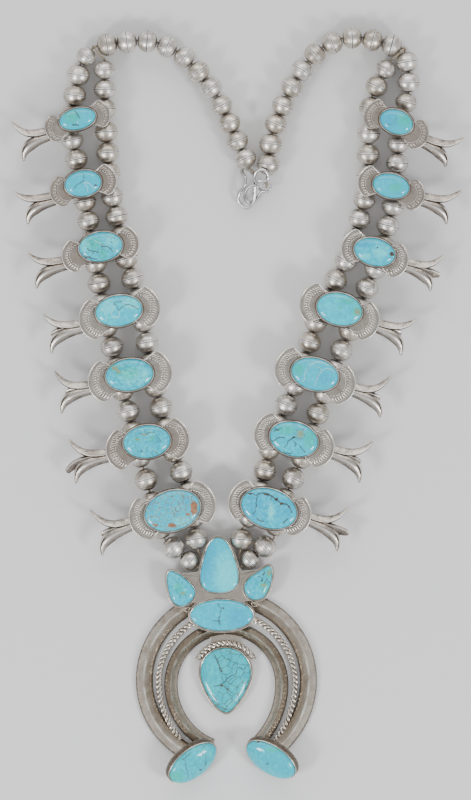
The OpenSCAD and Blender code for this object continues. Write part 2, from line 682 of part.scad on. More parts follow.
// Room in front of a cup's back
module cup_room(place, turn) {
    side = 2 * CUP_SIZE[0];
    cup_frame(place, turn) translate([-side / 2, -side / 2, -(cup_depth + cup_recess) / 2]) cube(side);
}

// What runs into the end cups stops at their backs
module cut_at_cups() {
    difference() {
        children();
        cup_room(CUP_LEFT_AT, CUP_LEFT_TURN);
        cup_room(CUP_RIGHT_AT, CUP_RIGHT_TURN);
    }
}

module crown_setting(outline, place) {
    translate(at(place, 0)) {
        slab(grown(outline, stone_gap + bezel_t + crown_margin), crown_z, crown_t);
        bezel(outline, crown_z + crown_t - eps, bezel_h);
    }
}

module crown_shank(knots) {
    a = knots[len(knots) - 2];
    b = knots[len(knots) - 1];
    translate([b[X], b[Y], 0]) rotate(atan2(b[Y] - a[Y], b[X] - a[X]) + 90)
        shank(crown_string_z, crown_z + crown_t / 2, shank_w);
}

// Room for the small bead that lies in each notch of the crown
module notch(knots) {
    a = knots[len(knots) - 3];
    b = knots[len(knots) - 2];
    translate([(a[X] + b[X]) / 2, (a[Y] + b[Y]) / 2, crown_z - crown_t])
        cylinder(h = 3 * crown_t, r = notch_r, $fn = turned_sides);
}

// Setting of the drop, soldered under the inner crescent
module drop_setting() {
    drop = smooth_loop(DROP, 2);
    translate(at(DROP_AT, 0)) {
        slab(grown(drop, stone_gap + bezel_t + crown_margin), drop_z, crown_t);
        translate([0, 0, drop_z]) linear_extrude(crown_t) {
            translate([0, ARC_SHIFT]) intersection() {
                circle(r = ARC_R + rope_d / 3, $fn = wing_sides);
                translate([-ARC_R, DROP_NECK[0] / 2]) square(2 * ARC_R);
            }
            translate([-DROP_NECK[0] / 2, ARC_R - ARC_SHIFT]) square(DROP_NECK);
        }
        bezel(drop, drop_z + crown_t - eps, bezel_h);
    }
    rope(arc_path);
    for (p = [arc_path[0], arc_path[len(arc_path) - 1]]) translate(p) sphere(d = arc_ball, $fn = ball_sides);
}

module naja() {
    color("#aca196") union() {
        cut_at_cups()
            crescent(NAJA, OUTER_R, outer_w, OUTER_LEG_LEFT, OUTER_LEG_RIGHT, OUTER_LEG_ANGLES);
        cut_at_cups()
            crescent(NAJA_INNER, INNER_R, inner_w, INNER_LEG_LEFT, INNER_LEG_RIGHT, INNER_LEG_ANGLES);
        cut_at_cups() rope(rope_side(-1, ROPE_LEG_LEFT, ROPE_LEG_ANGLES[0], ROPE_TOP_ANGLES[0]));
        cut_at_cups() rope(rope_side(1, ROPE_LEG_RIGHT, ROPE_LEG_ANGLES[1], ROPE_TOP_ANGLES[1]));
        cup_body(CUP_LEFT_AT, CUP_LEFT_TURN);
        cup_body(CUP_RIGHT_AT, CUP_RIGHT_TURN);
        difference() {
            union() {
                slab(CROWN, crown_z, crown_t);
                crown_setting(smooth_loop(PEAR, 3), PEAR_AT);
                crown_setting(smooth_loop(LEAF_LEFT, 2), LEAF_LEFT_AT);
                crown_setting(smooth_loop(LEAF_RIGHT, 2), LEAF_RIGHT_AT);
                crown_setting(oval(OVAL_SIZE[0], OVAL_SIZE[1]), OVAL_AT);
            }
            notch(OUTER_LEFT);
            notch(OUTER_RIGHT);
        }
        for (k = [OUTER_LEFT, OUTER_RIGHT, INNER_LEFT, INNER_RIGHT]) crown_shank(k);
        drop_setting();
    }
}

module crown_stone(outline, place) {
    color("#4fc9dc") translate(at(place, crown_z + crown_t + stone_gap))
        cabochon(outline, crown_stone_h, bezel_h * wall_share);
}

module drop_stone() {
    color("#57b9cb") translate(at(DROP_AT, drop_z + crown_t + stone_gap))
        cabochon(smooth_loop(DROP, 2), stone_h, bezel_h * wall_share);
}

module cup_stone(place, turn) {
    color("#52b8cb") cup_frame(place, turn) translate([0, 0, stone_gap - cup_recess])
        cabochon(oval(CUP_SIZE[0], CUP_SIZE[1]), tip_stone_h, cup_recess);
}

module clasp_hook() {
    color("#d5d2cc") wire(smooth_line(HOOK, 2), hook_d, wire_sides);
}

module clasp_eye() {
    color("#a9a7a3") wire(smooth_line(EYE, 2), eye_d, wire_sides);
}

for (s = [0, 1]) {
    side = s == 0 ? -1 : 1;
    for (i = [0 : COUNT - 1]) {
        blossom(side, i);
        blossom_stone(side, table(side)[i]);
    }
}
naja();
crown_stone(smooth_loop(PEAR, 3), PEAR_AT);  // stone_pear
crown_stone(smooth_loop(LEAF_LEFT, 2), LEAF_LEFT_AT);  // stone_leaf_left
crown_stone(smooth_loop(LEAF_RIGHT, 2), LEAF_RIGHT_AT);  // stone_leaf_right
crown_stone(oval(OVAL_SIZE[0], OVAL_SIZE[1]), OVAL_AT);  // stone_oval
drop_stone();  // stone_drop
cup_stone(CUP_LEFT_AT, CUP_LEFT_TURN);  // stone_tip_left
cup_stone(CUP_RIGHT_AT, CUP_RIGHT_TURN);  // stone_tip_right
color("#b9b2a8") beads(BACK_LEFT);  // beads_back_left
color("#b9b2a8") beads(OUTER_LEFT);  // beads_outer_left
color("#b9b2a8") beads(INNER_LEFT);  // beads_inner_left
color("#b9b2a8") beads(BACK_RIGHT);  // beads_back_right
color("#b9b2a8") beads(OUTER_RIGHT);  // beads_outer_right
color("#b9b2a8") beads(INNER_RIGHT);  // beads_inner_right
thread(BACK_LEFT, OUTER_LEFT, INNER_LEFT, LEFT_TAIL);  // thread_left
thread(BACK_RIGHT, OUTER_RIGHT, INNER_RIGHT, RIGHT_TAIL);  // thread_right
clasp_hook();
clasp_eye();
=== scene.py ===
"""Looks of the squash blossom necklace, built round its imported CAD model.

The necklace lies flat on a pale floor and is seen from straight above. Lengths in the tables
are in millimetres, in the frame of the CAD model: +Y from the pendant to the clasp, +Z up.
"""

import math

import bpy
import numpy as np
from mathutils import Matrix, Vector

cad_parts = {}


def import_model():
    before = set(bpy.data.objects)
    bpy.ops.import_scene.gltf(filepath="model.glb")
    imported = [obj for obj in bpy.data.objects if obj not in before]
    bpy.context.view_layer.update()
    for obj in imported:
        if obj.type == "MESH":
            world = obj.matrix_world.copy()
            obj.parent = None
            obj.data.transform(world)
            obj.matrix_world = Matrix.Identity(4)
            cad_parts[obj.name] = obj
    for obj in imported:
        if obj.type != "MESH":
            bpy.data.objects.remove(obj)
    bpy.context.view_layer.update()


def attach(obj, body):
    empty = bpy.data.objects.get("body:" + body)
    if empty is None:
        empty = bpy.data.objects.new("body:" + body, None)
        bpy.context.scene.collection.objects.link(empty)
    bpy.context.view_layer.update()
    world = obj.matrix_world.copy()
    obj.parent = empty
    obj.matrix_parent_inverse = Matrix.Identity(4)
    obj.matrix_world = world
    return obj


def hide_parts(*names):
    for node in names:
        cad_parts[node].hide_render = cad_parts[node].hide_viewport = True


MM = 0.001
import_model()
rng = np.random.default_rng(7)

# Sizes shared with the CAD model
PLATE_T = 1.2
PLATE_Z = 10.7
WING_ANGLE = 66.0
RIM_H = 0.45
PLATE_BORDER = 0.4
SHANK_T = 1.0
SHANK_W = 3.4
SHANK_BORE = 2.0
STEM_IN = 1.6
STEM_DROP = 1.6
BEZEL_H = 2.0
BEZEL_T = 0.6
STONE_H = 4.2
STONE_GAP = 0.12
BEAD_BORE = 1.8
STRING_Z = 5.2

# One row for each blossom, from the clasp to the pendant. The stone's middle is at x, y. tilt is
# how far the outer end hangs down, in degrees. out is the way from the stone's middle to the rim
# of a wing, chord half of a wing's span. wing_y, hold_y and stem_y shift the outer wing, the
# shanks and the stem along the blossom. up, low and mid are the tips of the petals, mid 0 where no
# middle petal shows. far is how much further out the outer wing reaches.
COLUMNS = ("x y tilt stone_l stone_w out chord wing_y hold_out hold_in hold_y stem_y up_x up_y low_x "
           "low_y mid_x mid_y far").split()
LEFT = [
    [-69.3, 124.4, 13.0, 15.7, 8.9, 14.4, 6.5, -1.8, 4.2, -11.6, -3.0, -3.3,
     28.4, 5.4, 26.9, -12.3, 0, 0, 0.6],
    [-66.9, 96.4, 10.0, 15.7, 10.9, 14.8, 7.2, -1.8, 0.6, -11.2, -2.8, -4.2,
     30.2, 1.6, 26.6, -13.0, 0, 0, 0.2],
    [-59.2, 68.9, 9.0, 18.7, 12.4, 16.2, 7.6, -2.2, 3.4, -9.5, -1.5, -4.4,
     32.0, 2.4, 30.3, -13.3, 0, 0, 1.4],
    [-51.4, 41.1, 8.0, 20.0, 13.0, 17.6, 9.4, -2.2, 6.6, -9.7, -1.0, -4.3,
     32.9, 3.1, 31.6, -14.0, 29.8, -5.9, 0.3],
    [-46.8, 13.3, 6.5, 20.4, 13.5, 18.1, 9.5, -1.5, 4.5, -9.9, -1.1, -3.5,
     32.2, 5.2, 31.1, -13.1, 27.7, -4.3, 0.2],
    [-39.2, -15.7, 6.5, 20.2, 13.9, 18.0, 9.4, -2.2, 4.6, -9.6, -0.4, -3.9,
     33.6, 4.7, 32.7, -14.4, 35.6, -8.8, 0.3],
    [-28.1, -45.7, 17.0, 24.4, 17.0, 18.7, 10.0, 0.2, 7.5, -9.4, 0.1, 0.0,
     34.2, 10.7, 34.8, -9.6, 31.8, -0.8, 0.7],
]
RIGHT = [
    [69.1, 123.1, 20.0, 14.4, 10.0, 14.6, 7.2, -2.0, 2.4, -11.2, -3.6, -3.5,
     29.8, 3.5, 26.6, -10.9, 0, 0, 0.7],
    [66.8, 95.3, 12.0, 15.7, 10.2, 14.8, 7.3, -1.8, 2.9, -9.9, -3.0, -2.6,
     30.1, 4.5, 26.9, -11.0, 0, 0, 0.5],
    [59.7, 66.6, 15.0, 17.8, 11.5, 14.9, 8.1, -1.2, 2.7, -9.9, -1.4, -1.6,
     29.2, 6.2, 27.7, -10.0, 29.2, -2.3, 0.4],
    [44.4, 41.8, 14.0, 19.6, 13.5, 17.7, 9.1, -2.2, 7.3, -8.2, -2.6, -2.9,
     33.4, 4.0, 30.7, -12.8, 27.8, -3.7, 0.6],
    [33.7, 13.6, 15.0, 20.4, 13.5, 17.9, 9.4, -1.6, 6.6, -6.2, -1.5, -2.0,
     32.4, 8.3, 32.1, -10.7, 29.3, -2.8, 0.6],
    [24.6, -14.6, 15.0, 20.9, 14.4, 17.8, 9.1, -0.9, 6.4, -9.3, -1.3, -0.9,
     33.5, 7.7, 32.3, -10.7, 29.9, -2.3, 0.4],
    [13.8, -44.7, 18.0, 24.4, 16.5, 18.3, 9.4, 0.5, 4.5, -5.4, 0.2, 1.2,
     32.9, 11.3, 33.8, -8.4, 35.6, 0.4, 0.4],
]
SIDES = {side: (sign, [dict(zip(COLUMNS, row)) for row in rows])
         for side, sign, rows in (("left", -1, LEFT), ("right", 1, RIGHT))}

# Pendant
NAJA = (-4.7, -119.4)
NAJA_INNER = (-4.7, -121.2)
CRESCENTS = {
    "outer": dict(middle=NAJA, r=35.7, w=7.4, legs=(35.7, 38.5), angles=(75, 68)),
    "inner": dict(middle=NAJA_INNER, r=24.1, w=5.8, legs=(28.7, 36.0), angles=(68, 60)),
}
RIDGE_H = 5.0
RIDGE_WALL = 1.4
ROPE = dict(middle=(-4.5, -120.2), r=29.6, legs=(38.0, 43.0), angles=(42, 37), tops=(70, 75))
ROPE_D = 2.6
ROPE_Z = 1.6
PEAR = [(-0.9, 12.8), (3.0, 10.9), (5.9, 5.2), (8.0, -3.0), (6.7, -8.7), (0.7, -10.9),
        (-6.3, -9.4), (-8.2, -3.9), (-6.7, 3.9), (-4.4, 10.2)]
LEAF_LEFT = [(-4.6, 7.4), (-1.1, 6.3), (2.8, 3.5), (5.9, -0.4), (5.9, -3.5), (3.3, -6.5),
             (0.2, -7.6), (-3.3, -5.7), (-5.0, -0.9), (-5.7, 4.4)]
LEAF_RIGHT = [(4.4, 7.4), (5.7, 4.8), (5.4, 0.9), (4.1, -3.0), (2.0, -6.1), (-2.0, -7.0),
              (-5.0, -5.2), (-6.1, -1.7), (-4.1, 2.0), (0.2, 5.0)]
DROP = [(-0.4, 13.5), (5.2, 12.2), (9.6, 7.8), (10.7, 2.2), (8.7, -4.4), (5.2, -10.0), (1.2, -14.1),
        (-1.6, -13.6), (-4.8, -10.9), (-8.7, -4.8), (-10.9, 2.2), (-9.6, 8.3), (-5.7, 12.2)]
PEAR_AT = (-7.7, -70.3)
LEAF_LEFT_AT = (-24.7, -79.4)
LEAF_RIGHT_AT = (9.3, -77.2)
OVAL_AT = (-6.7, -91.1)
OVAL_SIZE = (27.0, 13.2)
DROP_AT = (-4.9, -119.0)
CUP_SIZE = (23.6, 14.4)
CUPS = {"left": ((-19.2, -155.4), 38.0), "right": ((14.6, -153.9), -33.0)}
CUP_TILT = 39.0
CUP_DEPTH = 3.5
CUP_RECESS = 1.5
CROWN = [(-26.5, -73.0), (-17.2, -72.2), (-13.0, -66.0), (-2.5, -66.0), (2.2, -71.8), (11.0, -71.0),
         (7.0, -84.0), (-6.7, -89.0), (-21.0, -85.0)]
CROWN_T = 1.2
CROWN_Z = RIDGE_H - 0.6
CROWN_STONE_H = 0.9 * STONE_H
DROP_Z = 0.8
ARC_R = 14.2
ARC_SHIFT = 1.6
ARC_ANGLES = (146, 36)
CUP_Z = ((CUP_SIZE[1] / 2 + STONE_GAP + BEZEL_T) * math.sin(math.radians(CUP_TILT))
         + CUP_DEPTH * math.cos(math.radians(CUP_TILT)) + 0.05)

# Clasp: points of the two wires
HOOK_D = 1.3
EYE_D = 1.0
HOOK = [(6.9, 100.8, 5.2), (5.6, 102.3, 2.9), (3.6, 103.0, 1.2), (2.0, 101.8, 1.9), (3.1, 99.8, 3.8),
        (3.7, 98.1, 4.5), (2.9, 95.0, 4.1), (1.0, 92.6, 3.5), (0.4, 89.8, 2.9), (1.8, 87.2, 2.5),
        (4.0, 85.9, 2.5), (6.2, 87.2, 2.9), (7.4, 89.8, 3.7), (7.7, 93.3, 5.0), (7.7, 96.4, 6.3),
        (7.6, 99.6, 8.2), (8.6, 101.7, 9.3), (10.6, 102.5, 10.0), (12.6, 101.6, 10.1), (13.6, 99.4, 9.7),
        (12.6, 97.7, 9.3), (10.5, 97.3, 8.9), (9.2, 97.7, 8.7)]
EYE = [(10.4, 93.6, 5.4), (8.8, 94.9, 7.2), (6.9, 95.6, 7.6), (5.0, 94.9, 7.0), (3.6, 92.8, 5.6),
       (3.3, 90.8, 4.2), (3.9, 89.2, 3.0), (5.6, 88.5, 2.2), (7.8, 89.4, 1.9), (9.4, 91.4, 2.8),
       (10.9, 93.2, 4.0), (12.9, 92.8, 4.6), (14.3, 93.9, 4.9), (14.2, 95.8, 5.1), (12.7, 96.5, 5.2),
       (11.3, 95.7, 5.2)]


# Camera, seen from straight above
# The photograph's scale is 0.435 mm to the pixel, and its pixel 237.2, 405.5 is the frame's origin.
PIXEL = 0.435 * MM
ORIGIN_PX = (237.2, 405.5)
IMAGE_PX = (471, 800)
CAMERA_HEIGHT = 6.0
SENSOR = 36.0
CLIP_END = 20.0


def make_camera():
    data = bpy.data.cameras.new("camera")
    data.sensor_width = SENSOR
    data.lens = SENSOR * CAMERA_HEIGHT / (IMAGE_PX[1] * PIXEL)
    data.clip_end = CLIP_END
    camera = bpy.data.objects.new("camera", data)
    camera.location = (
        (IMAGE_PX[0] / 2 - ORIGIN_PX[0]) * PIXEL,
        (ORIGIN_PX[1] - IMAGE_PX[1] / 2) * PIXEL,
        CAMERA_HEIGHT,
    )
    bpy.context.scene.collection.objects.link(camera)
    bpy.context.scene.camera = camera


make_camera()


# Meshes, in millimetres
METAL = ("grime", "tone", "rub", "warm")


class Shell:
    """Collects closed surfaces with a few numbers kept at each point, and makes them one piece."""

    def __init__(self, *layers):
        self.points = []
        self.faces = []
        self.values = {name: [] for name in layers}
        self.count = 0

    def grid(self, points, along=False, **values):
        """A skin over closed rows of points. along joins the last row to the first one, and
        otherwise a fan closes each end."""
        points = np.asarray(points, float)
        rows, cols = points.shape[:2]
        faces = [quads(rows, cols, along)]
        flat = [points.reshape(-1, 3)]
        values = {k: np.broadcast_to(np.asarray(v, float), (rows, cols)) for k, v in values.items()}
        ends = [] if along else [0, rows - 1]
        for k, row in enumerate(ends):
            ring = row * cols + np.arange(cols)
            pair = (np.roll(ring, -1), ring) if row == 0 else (ring, np.roll(ring, -1))
            faces.append(np.stack([*pair, np.full(cols, rows * cols + k)], 1))
            flat.append(points[row].mean(0)[None])
        flat = np.concatenate(flat)
        if inside_out(flat, faces):
            faces = [f[:, ::-1] for f in faces]
        self.points.append(flat)
        self.faces += [f + self.count for f in faces]
        self.count += len(flat)
        for name, kept in self.values.items():
            value = values.get(name, np.zeros((rows, cols)))
            kept.append(np.concatenate([value.reshape(-1), *([value[row].mean()] for row in ends)]))


    def piece(self, name, slot, material, sharp):
        """Makes the piece and puts it in place of the CAD node of its name."""
        mesh = bpy.data.meshes.new(name)
        points = np.concatenate(self.points) * MM
        sizes = np.concatenate([np.full(len(f), f.shape[1]) for f in self.faces])
        loops = np.concatenate([f.reshape(-1) for f in self.faces])
        mesh.vertices.add(len(points))
        mesh.vertices.foreach_set("co", points.reshape(-1))
        mesh.loops.add(len(loops))
        mesh.loops.foreach_set("vertex_index", loops.astype(np.int32))
        mesh.polygons.add(len(sizes))
        mesh.polygons.foreach_set("loop_start", (np.cumsum(sizes) - sizes).astype(np.int32))
        mesh.update(calc_edges=True)
        for layer, kept in self.values.items():
            data = mesh.attributes.new(layer, "FLOAT", "POINT")
            data.data.foreach_set("value", np.concatenate(kept).astype(np.float32))
        mesh.validate()
        mesh.shade_smooth()
        mesh.set_sharp_from_angle(angle=math.radians(sharp))
        mesh.materials.append(material)
        piece = bpy.data.objects.new(name, mesh)
        bpy.context.scene.collection.objects.link(piece)
        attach(piece, "root")
        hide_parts(name)


def inside_out(points, faces):
    """Whether the faces of a closed surface point inwards."""
    p = points - points.mean(0)
    volume = 0.0
    for f in faces:
        for k in range(1, f.shape[1] - 1):
            volume += np.einsum("ij,ij->", p[f[:, 0]], np.cross(p[f[:, k]], p[f[:, k + 1]]))
    return volume < 0


def quads(rows, cols, along):
    """Corners of the quads between closed rows of points."""
    index = np.arange(rows * cols).reshape(rows, cols)
    if along:
        index = np.concatenate([index, index[:1]])
    index = np.concatenate([index, index[:, :1]], 1)
    corners = (index[:-1, :-1], index[:-1, 1:], index[1:, 1:], index[1:, :-1])
    return np.stack([c.reshape(-1) for c in corners], 1)


def unit(v):
    return v / np.maximum(np.linalg.norm(v, axis=-1, keepdims=True), 1e-9)


def lumps(points, size, seed=0):
    """Smooth noise from -1 to 1 over points, with lumps of about the given size."""
    p = np.asarray(points, float) / size + 17.3 * seed
    cell = np.floor(p).astype(np.int64)
    f = p - cell
    f = f * f * (3 - 2 * f)
    total = 0
    for corner in np.ndindex(2, 2, 2):
        at = cell + corner
        mixed = (at[..., 0] * 73856093) ^ (at[..., 1] * 19349663) ^ (at[..., 2] * 83492791)
        mixed = ((mixed ^ (mixed >> 13)) * 1274126177) & 0xFFFFFFFF
        weight = np.prod(np.where(corner, f, 1 - f), axis=-1)
        total = total + weight * (((mixed ^ (mixed >> 16)) & 0xFFFF) / 32767.5 - 1)
    return total


def frames(path):
    """Direction, across and up at each point of a path that never runs straight up."""
    path = np.asarray(path, float)
    along = unit(np.gradient(path, axis=0))
    across = unit(np.cross([0, 0, 1.0], along))
    return along, across, np.cross(along, across)


def sweep(path, section):
    """Rows of points: a section, one row of (across, up) for each point of the path."""
    path = np.asarray(path, float)
    _, across, up = frames(path)
    section = np.asarray(section, float)
    if section.ndim == 2:
        section = np.broadcast_to(section, (len(path),) + section.shape)
    return (path[:, None] + across[:, None] * section[..., 0:1] + up[:, None] * section[..., 1:2])


def bump(x, middle, half):
    """Rounded ridge of height 1 round a middle."""
    t = np.clip(np.abs(x - middle) / half, 0, 1)
    return np.sqrt(1 - t * t)


def cosine_step(t):
    t = np.clip(t, 0, 1)
    return 0.5 - 0.5 * np.cos(np.pi * t)


def circle_angles(n):
    return 2 * np.pi * np.arange(n) / n


def circle(n, r=1.0):
    a = circle_angles(n)
    return np.stack([r * np.cos(a), r * np.sin(a)], 1)


def cos_sin(degrees):
    return math.cos(math.radians(degrees)), math.sin(math.radians(degrees))


def turn_z(degrees):
    """Turn about the upright axis, as a matrix."""
    c, s = cos_sin(degrees)
    return np.array([[c, -s, 0], [s, c, 0], [0, 0, 1.0]])


def smooth(points, steps, closed=False):
    """Catmull-Rom curve through a few points."""
    p = np.asarray(points, float)
    n = len(p)
    out = []
    for i in range(n if closed else n - 1):
        pick = [(i + k) % n if closed else min(max(i + k, 0), n - 1) for k in (-1, 0, 1, 2)]
        a, b, c, d = p[pick]
        for t in np.arange(steps) / steps:
            out.append(0.5 * (2 * b + (c - a) * t + (2 * a - 5 * b + 4 * c - d) * t * t
                              + (3 * b - a - 3 * c + d) * t ** 3))
    if not closed:
        out.append(p[-1])
    return np.array(out)


def bezier(a, b, c, d, n):
    t = np.linspace(0, 1, n)[:, None]
    a, b, c, d = (np.array(p, float) for p in (a, b, c, d))
    return a * (1 - t) ** 3 + b * 3 * t * (1 - t) ** 2 + c * 3 * t * t * (1 - t) + d * t ** 3


def oval(l, w, n):
    return circle(n) * [l / 2, w / 2]


def outward(outline):
    """Unit normals of a closed outline that point out of it."""
    d = unit(np.roll(outline, -1, 0) - np.roll(outline, 1, 0))
    normal = np.stack([d[:, 1], -d[:, 0]], 1)
    x, y = outline[:, 0], outline[:, 1]
    area = np.sum(x * np.roll(y, -1) - y * np.roll(x, -1))
    return normal if area > 0 else -normal


def loft(outline, profile):
    """Rows of points: the outline grown by the first number of each profile pair, at the height
    of the second."""
    normal = outward(outline)
    return np.array([np.column_stack([outline + normal * grow, np.full(len(outline), z)])
                     for grow, z in profile])


# Materials
class Field:
    """A node's output, which can be added, subtracted and multiplied."""

    def __init__(self, nodes, socket):
        self.nodes = nodes
        self.socket = socket

    def __add__(self, other):
        return self.nodes.math("ADD", self, other)

    def __sub__(self, other):
        return self.nodes.math("SUBTRACT", self, other)

    def __mul__(self, other):
        return self.nodes.math("MULTIPLY", self, other)


class Nodes:
    """Short calls for building a material's nodes. Lengths are in millimetres."""

    def __init__(self, name, **fixed):
        self.material = bpy.data.materials.new(name)
        self.material.use_nodes = True
        self.tree = self.material.node_tree
        self.shader = self.tree.nodes["Principled BSDF"]
        for socket, value in fixed.items():
            self.shader.inputs[socket.replace("_", " ")].default_value = value

    def plug(self, socket, value):
        if isinstance(value, Field):
            self.tree.links.new(value.socket, socket)
        elif socket.type == "RGBA":
            socket.default_value = (*value[:3], 1)
        else:
            socket.default_value = value

    def node(self, kind, out=0, inputs=None, **settings):
        node = self.tree.nodes.new(kind)
        for key, value in settings.items():
            setattr(node, key, value)
        for key, value in (inputs or {}).items():
            self.plug(node.inputs[key], value)
        return Field(self, node.outputs[out])

    def value(self, name):
        return self.node("ShaderNodeAttribute", "Fac", attribute_name=name)

    @property
    def place(self):
        return self.node("ShaderNodeTexCoord", "Object")

    def noise(self, size, detail=3.0, rough=0.55, warp=0.0, place=None, out="Fac"):
        """Noise from 0 to 1 with features of a size."""
        return self.node("ShaderNodeTexNoise", out, {
            "Vector": self.place if place is None else place, "Scale": 1 / (size * MM), "Detail": detail,
            "Roughness": rough, "Distortion": warp})

    def cells(self, size, place):
        """Distance to the edges between cells of a size."""
        return self.node("ShaderNodeTexVoronoi", "Distance", {"Vector": place, "Scale": 1 / (size * MM)},
                         feature="DISTANCE_TO_EDGE")

    def math(self, operation, a, b):
        return self.node("ShaderNodeMath", 0, {0: a, 1: b}, operation=operation)

    def most(self, *values):
        most, *others = values
        for value in others:
            most = self.math("MAXIMUM", most, value)
        return most

    def map(self, value, low, high, to_low=0.0, to_high=1.0):
        return self.node("ShaderNodeMapRange", 0, {
            "Value": value, "From Min": low, "From Max": high, "To Min": to_low, "To Max": to_high},
            interpolation_type="SMOOTHSTEP")

    def mix(self, share, a, b):
        return self.node("ShaderNodeMix", 2, {0: share, 6: a, 7: b}, data_type="RGBA")

    def warped(self, size, strength):
        """Object coordinates moved about by noise."""
        wobble = self.noise(size, 2.0, 0.5, out="Color")
        centred = self.node("ShaderNodeVectorMath", 0, {0: wobble, 1: (0.5, 0.5, 0.5)},
                            operation="SUBTRACT")
        moved = self.node("ShaderNodeVectorMath", 0, {0: centred, "Scale": strength * MM},
                          operation="SCALE")
        return self.node("ShaderNodeVectorMath", 0, {0: self.place, 1: moved}, operation="ADD")

    def bump(self, height, distance, strength):
        return self.node("ShaderNodeBump", 0, {"Height": height, "Distance": distance * MM,
                                               "Strength": strength})

    def finish(self, **sockets):
        for socket, value in sockets.items():
            self.plug(self.shader.inputs[socket.replace("_", " ")], value)
        return self.material


def blend(share, a, b):
    return tuple(p * (1 - share) + q * share for p, q in zip(a, b))


BRONZE = (0.56, 0.49, 0.38)


def silver(name, bright, warm, dark, rough=(0.30, 0.52), blotch=0.5):
    """Aged silver. The point values grime, tone, rub and warm say where it is dark from grime and from
    painted shade, how it differs from its neighbours, where wear and painted highlights make it bright, and
    where it is yellowish."""
    n = Nodes(name, Metallic=1.0)
    grime, tone, rub, bronze = (n.value(layer) for layer in METAL)
    cloud = n.noise(4.0, 4.0, 0.6, 0.4)
    fine = n.noise(0.9, 4.0, 0.65)
    specks = n.noise(0.35, 2.0, 0.6)
    drift = cloud - 0.5
    tarnish = n.map(cloud * 0.7 + fine * 0.5, 0.48, 0.78) * blotch
    shaded = n.mix(n.map(tone + drift, 0.1, 1.0), bright, warm)
    shaded = n.mix(n.map(bronze + drift, 0.1, 1.0) * 0.5, shaded, BRONZE)
    shaded = n.mix(tarnish * n.map(rub, 0.2, 0.9, 1.0, 0.35), shaded, dark)
    # bright colour for worn parts and for painted highlights
    bright_wear_and_highlight = tuple(min(0.95, 0.35 + 0.95 * c) for c in bright)
    shaded = n.mix(n.map(rub, 0.5, 1.0, 0.0, 0.9), shaded, bright_wear_and_highlight)
    # darkening from grime and patina, and from painted shade
    deep = n.map(grime + (fine - 0.5) * 0.7, 0.15, 0.95)
    shaded = n.mix(deep, shaded, tuple(c * 0.35 for c in dark))
    shaded = n.mix(n.map(specks, 0.66, 0.74, 0.0, 0.55), shaded, tuple(c * 0.5 for c in dark))
    roughness = n.map(fine + deep, 0.3, 1.6, *rough) + tarnish * 0.12
    stretched = n.node("ShaderNodeMapping", 0, {"Vector": n.place, "Rotation": (0.3, 0.5, 0.7),
                                                "Scale": (1.0, 6.0, 2.0)})
    scratches = n.noise(1.1, 5.0, 0.75, 0.8, stretched)
    return n.finish(Base_Color=shaded, Roughness=roughness,
                    Normal=n.bump(scratches * 0.6 + fine, 0.05, 0.55))


SILVER = {
    "bead": silver("silver_beads", (0.82, 0.79, 0.74), (0.68, 0.62, 0.53), (0.25, 0.20, 0.17),
                   (0.34, 0.52), 0.7),
    "blossom": silver("silver_blossoms", (0.57, 0.53, 0.47), (0.48, 0.42, 0.37), (0.24, 0.19, 0.16)),
    "naja": silver("silver_naja", (0.60, 0.55, 0.47), (0.47, 0.40, 0.33), (0.26, 0.20, 0.15),
                   (0.26, 0.46), 0.5),
    "hook": silver("silver_hook", (0.78, 0.77, 0.75), (0.62, 0.60, 0.57), (0.38, 0.36, 0.33),
                   (0.22, 0.38), 0.3),
    "eye": silver("silver_eye", (0.58, 0.56, 0.55), (0.48, 0.46, 0.42), (0.25, 0.23, 0.21)),
}


# Strings of beads
BEAD_LEN = 9.4
BEAD_D = 10.4
BEAD_RATIO = 1.19
BEAD_GAP = 0.12
SEAM_H = 0.12
MOUTH_WALL = 0.5
SHANK_REST = 0.6
BEADS, REST = 3, 4

# Strands: points x, y, z, the beads between the point before and this one, and the room that
# what sits at the point takes on the thread
Z = STRING_Z
JOIN_LEFT = (-62.3, 155.9, Z, 0, 1.5)
JOIN_RIGHT = (72.7, 155.0, Z, 0, 1.5)
BACK_LEFT = [JOIN_LEFT, (-43.5, 158.7, Z, 2, 0), (-34.6, 157.8, Z, 1, 0), (-26.4, 154.2, Z, 1, 0),
             (-19.7, 148.5, Z, 1, 0), (-8.6, 134.5, Z, 2, 0), (5.3, 103.5, Z, 4, 0)]
BACK_RIGHT = [JOIN_RIGHT, (54.4, 160.0, Z, 2, 0), (45.5, 159.6, Z, 1, 0), (37.1, 155.7, Z, 1, 0),
              (30.6, 149.6, Z, 1, 0), (21.4, 134.4, Z, 2, 0), (15.1, 118.2, Z, 2, 0),
              (13.0, 100.3, Z, 2, 0)]
OUTER_LEFT_TOP = [JOIN_LEFT, (-68.2, 148.3, Z, 1, 0), (-69.9, 139.2, Z, 1, 0)]
OUTER_RIGHT_TOP = [JOIN_RIGHT, (74.6, 144.9, Z, 1, 0), (74.4, 135.9, Z, 1, 0)]
INNER_LEFT_TOP = [JOIN_LEFT, (-60.6, 153.0, 8.6, 0, 0), (-57.7, 150.8, Z, 0, 0), (-57.7, 141.6, Z, 1, 0)]
INNER_RIGHT_TOP = [JOIN_RIGHT, (70.1, 152.7, 9.0, 0, 0), (66.9, 150.0, Z, 0, 0), (62.5, 142.6, Z, 1, 0),
                   (58.6, 134.6, Z, 1, 0)]
OUTER_LEFT_END = [(-31.4, -58.3, Z, 1, 0), (-24.0, -64.9, Z, 1, 0), (-17.6, -69.9, 3.7, 1, 0),
                  (-15.3, -72.0, 2.5, 0, 0.6)]
OUTER_RIGHT_END = [(15.9, -57.9, Z, 1, 0), (8.4, -64.2, Z, 1, 0), (2.4, -69.3, 3.7, 1, 0),
                   (0.1, -71.3, 2.5, 0, 0.6)]
INNER_LEFT_END = [(-18.6, -53.3, Z, 1, 0), (-17.0, -62.9, Z, 1, 0), (-13.9, -69.0, 2.5, 0, 0.6)]
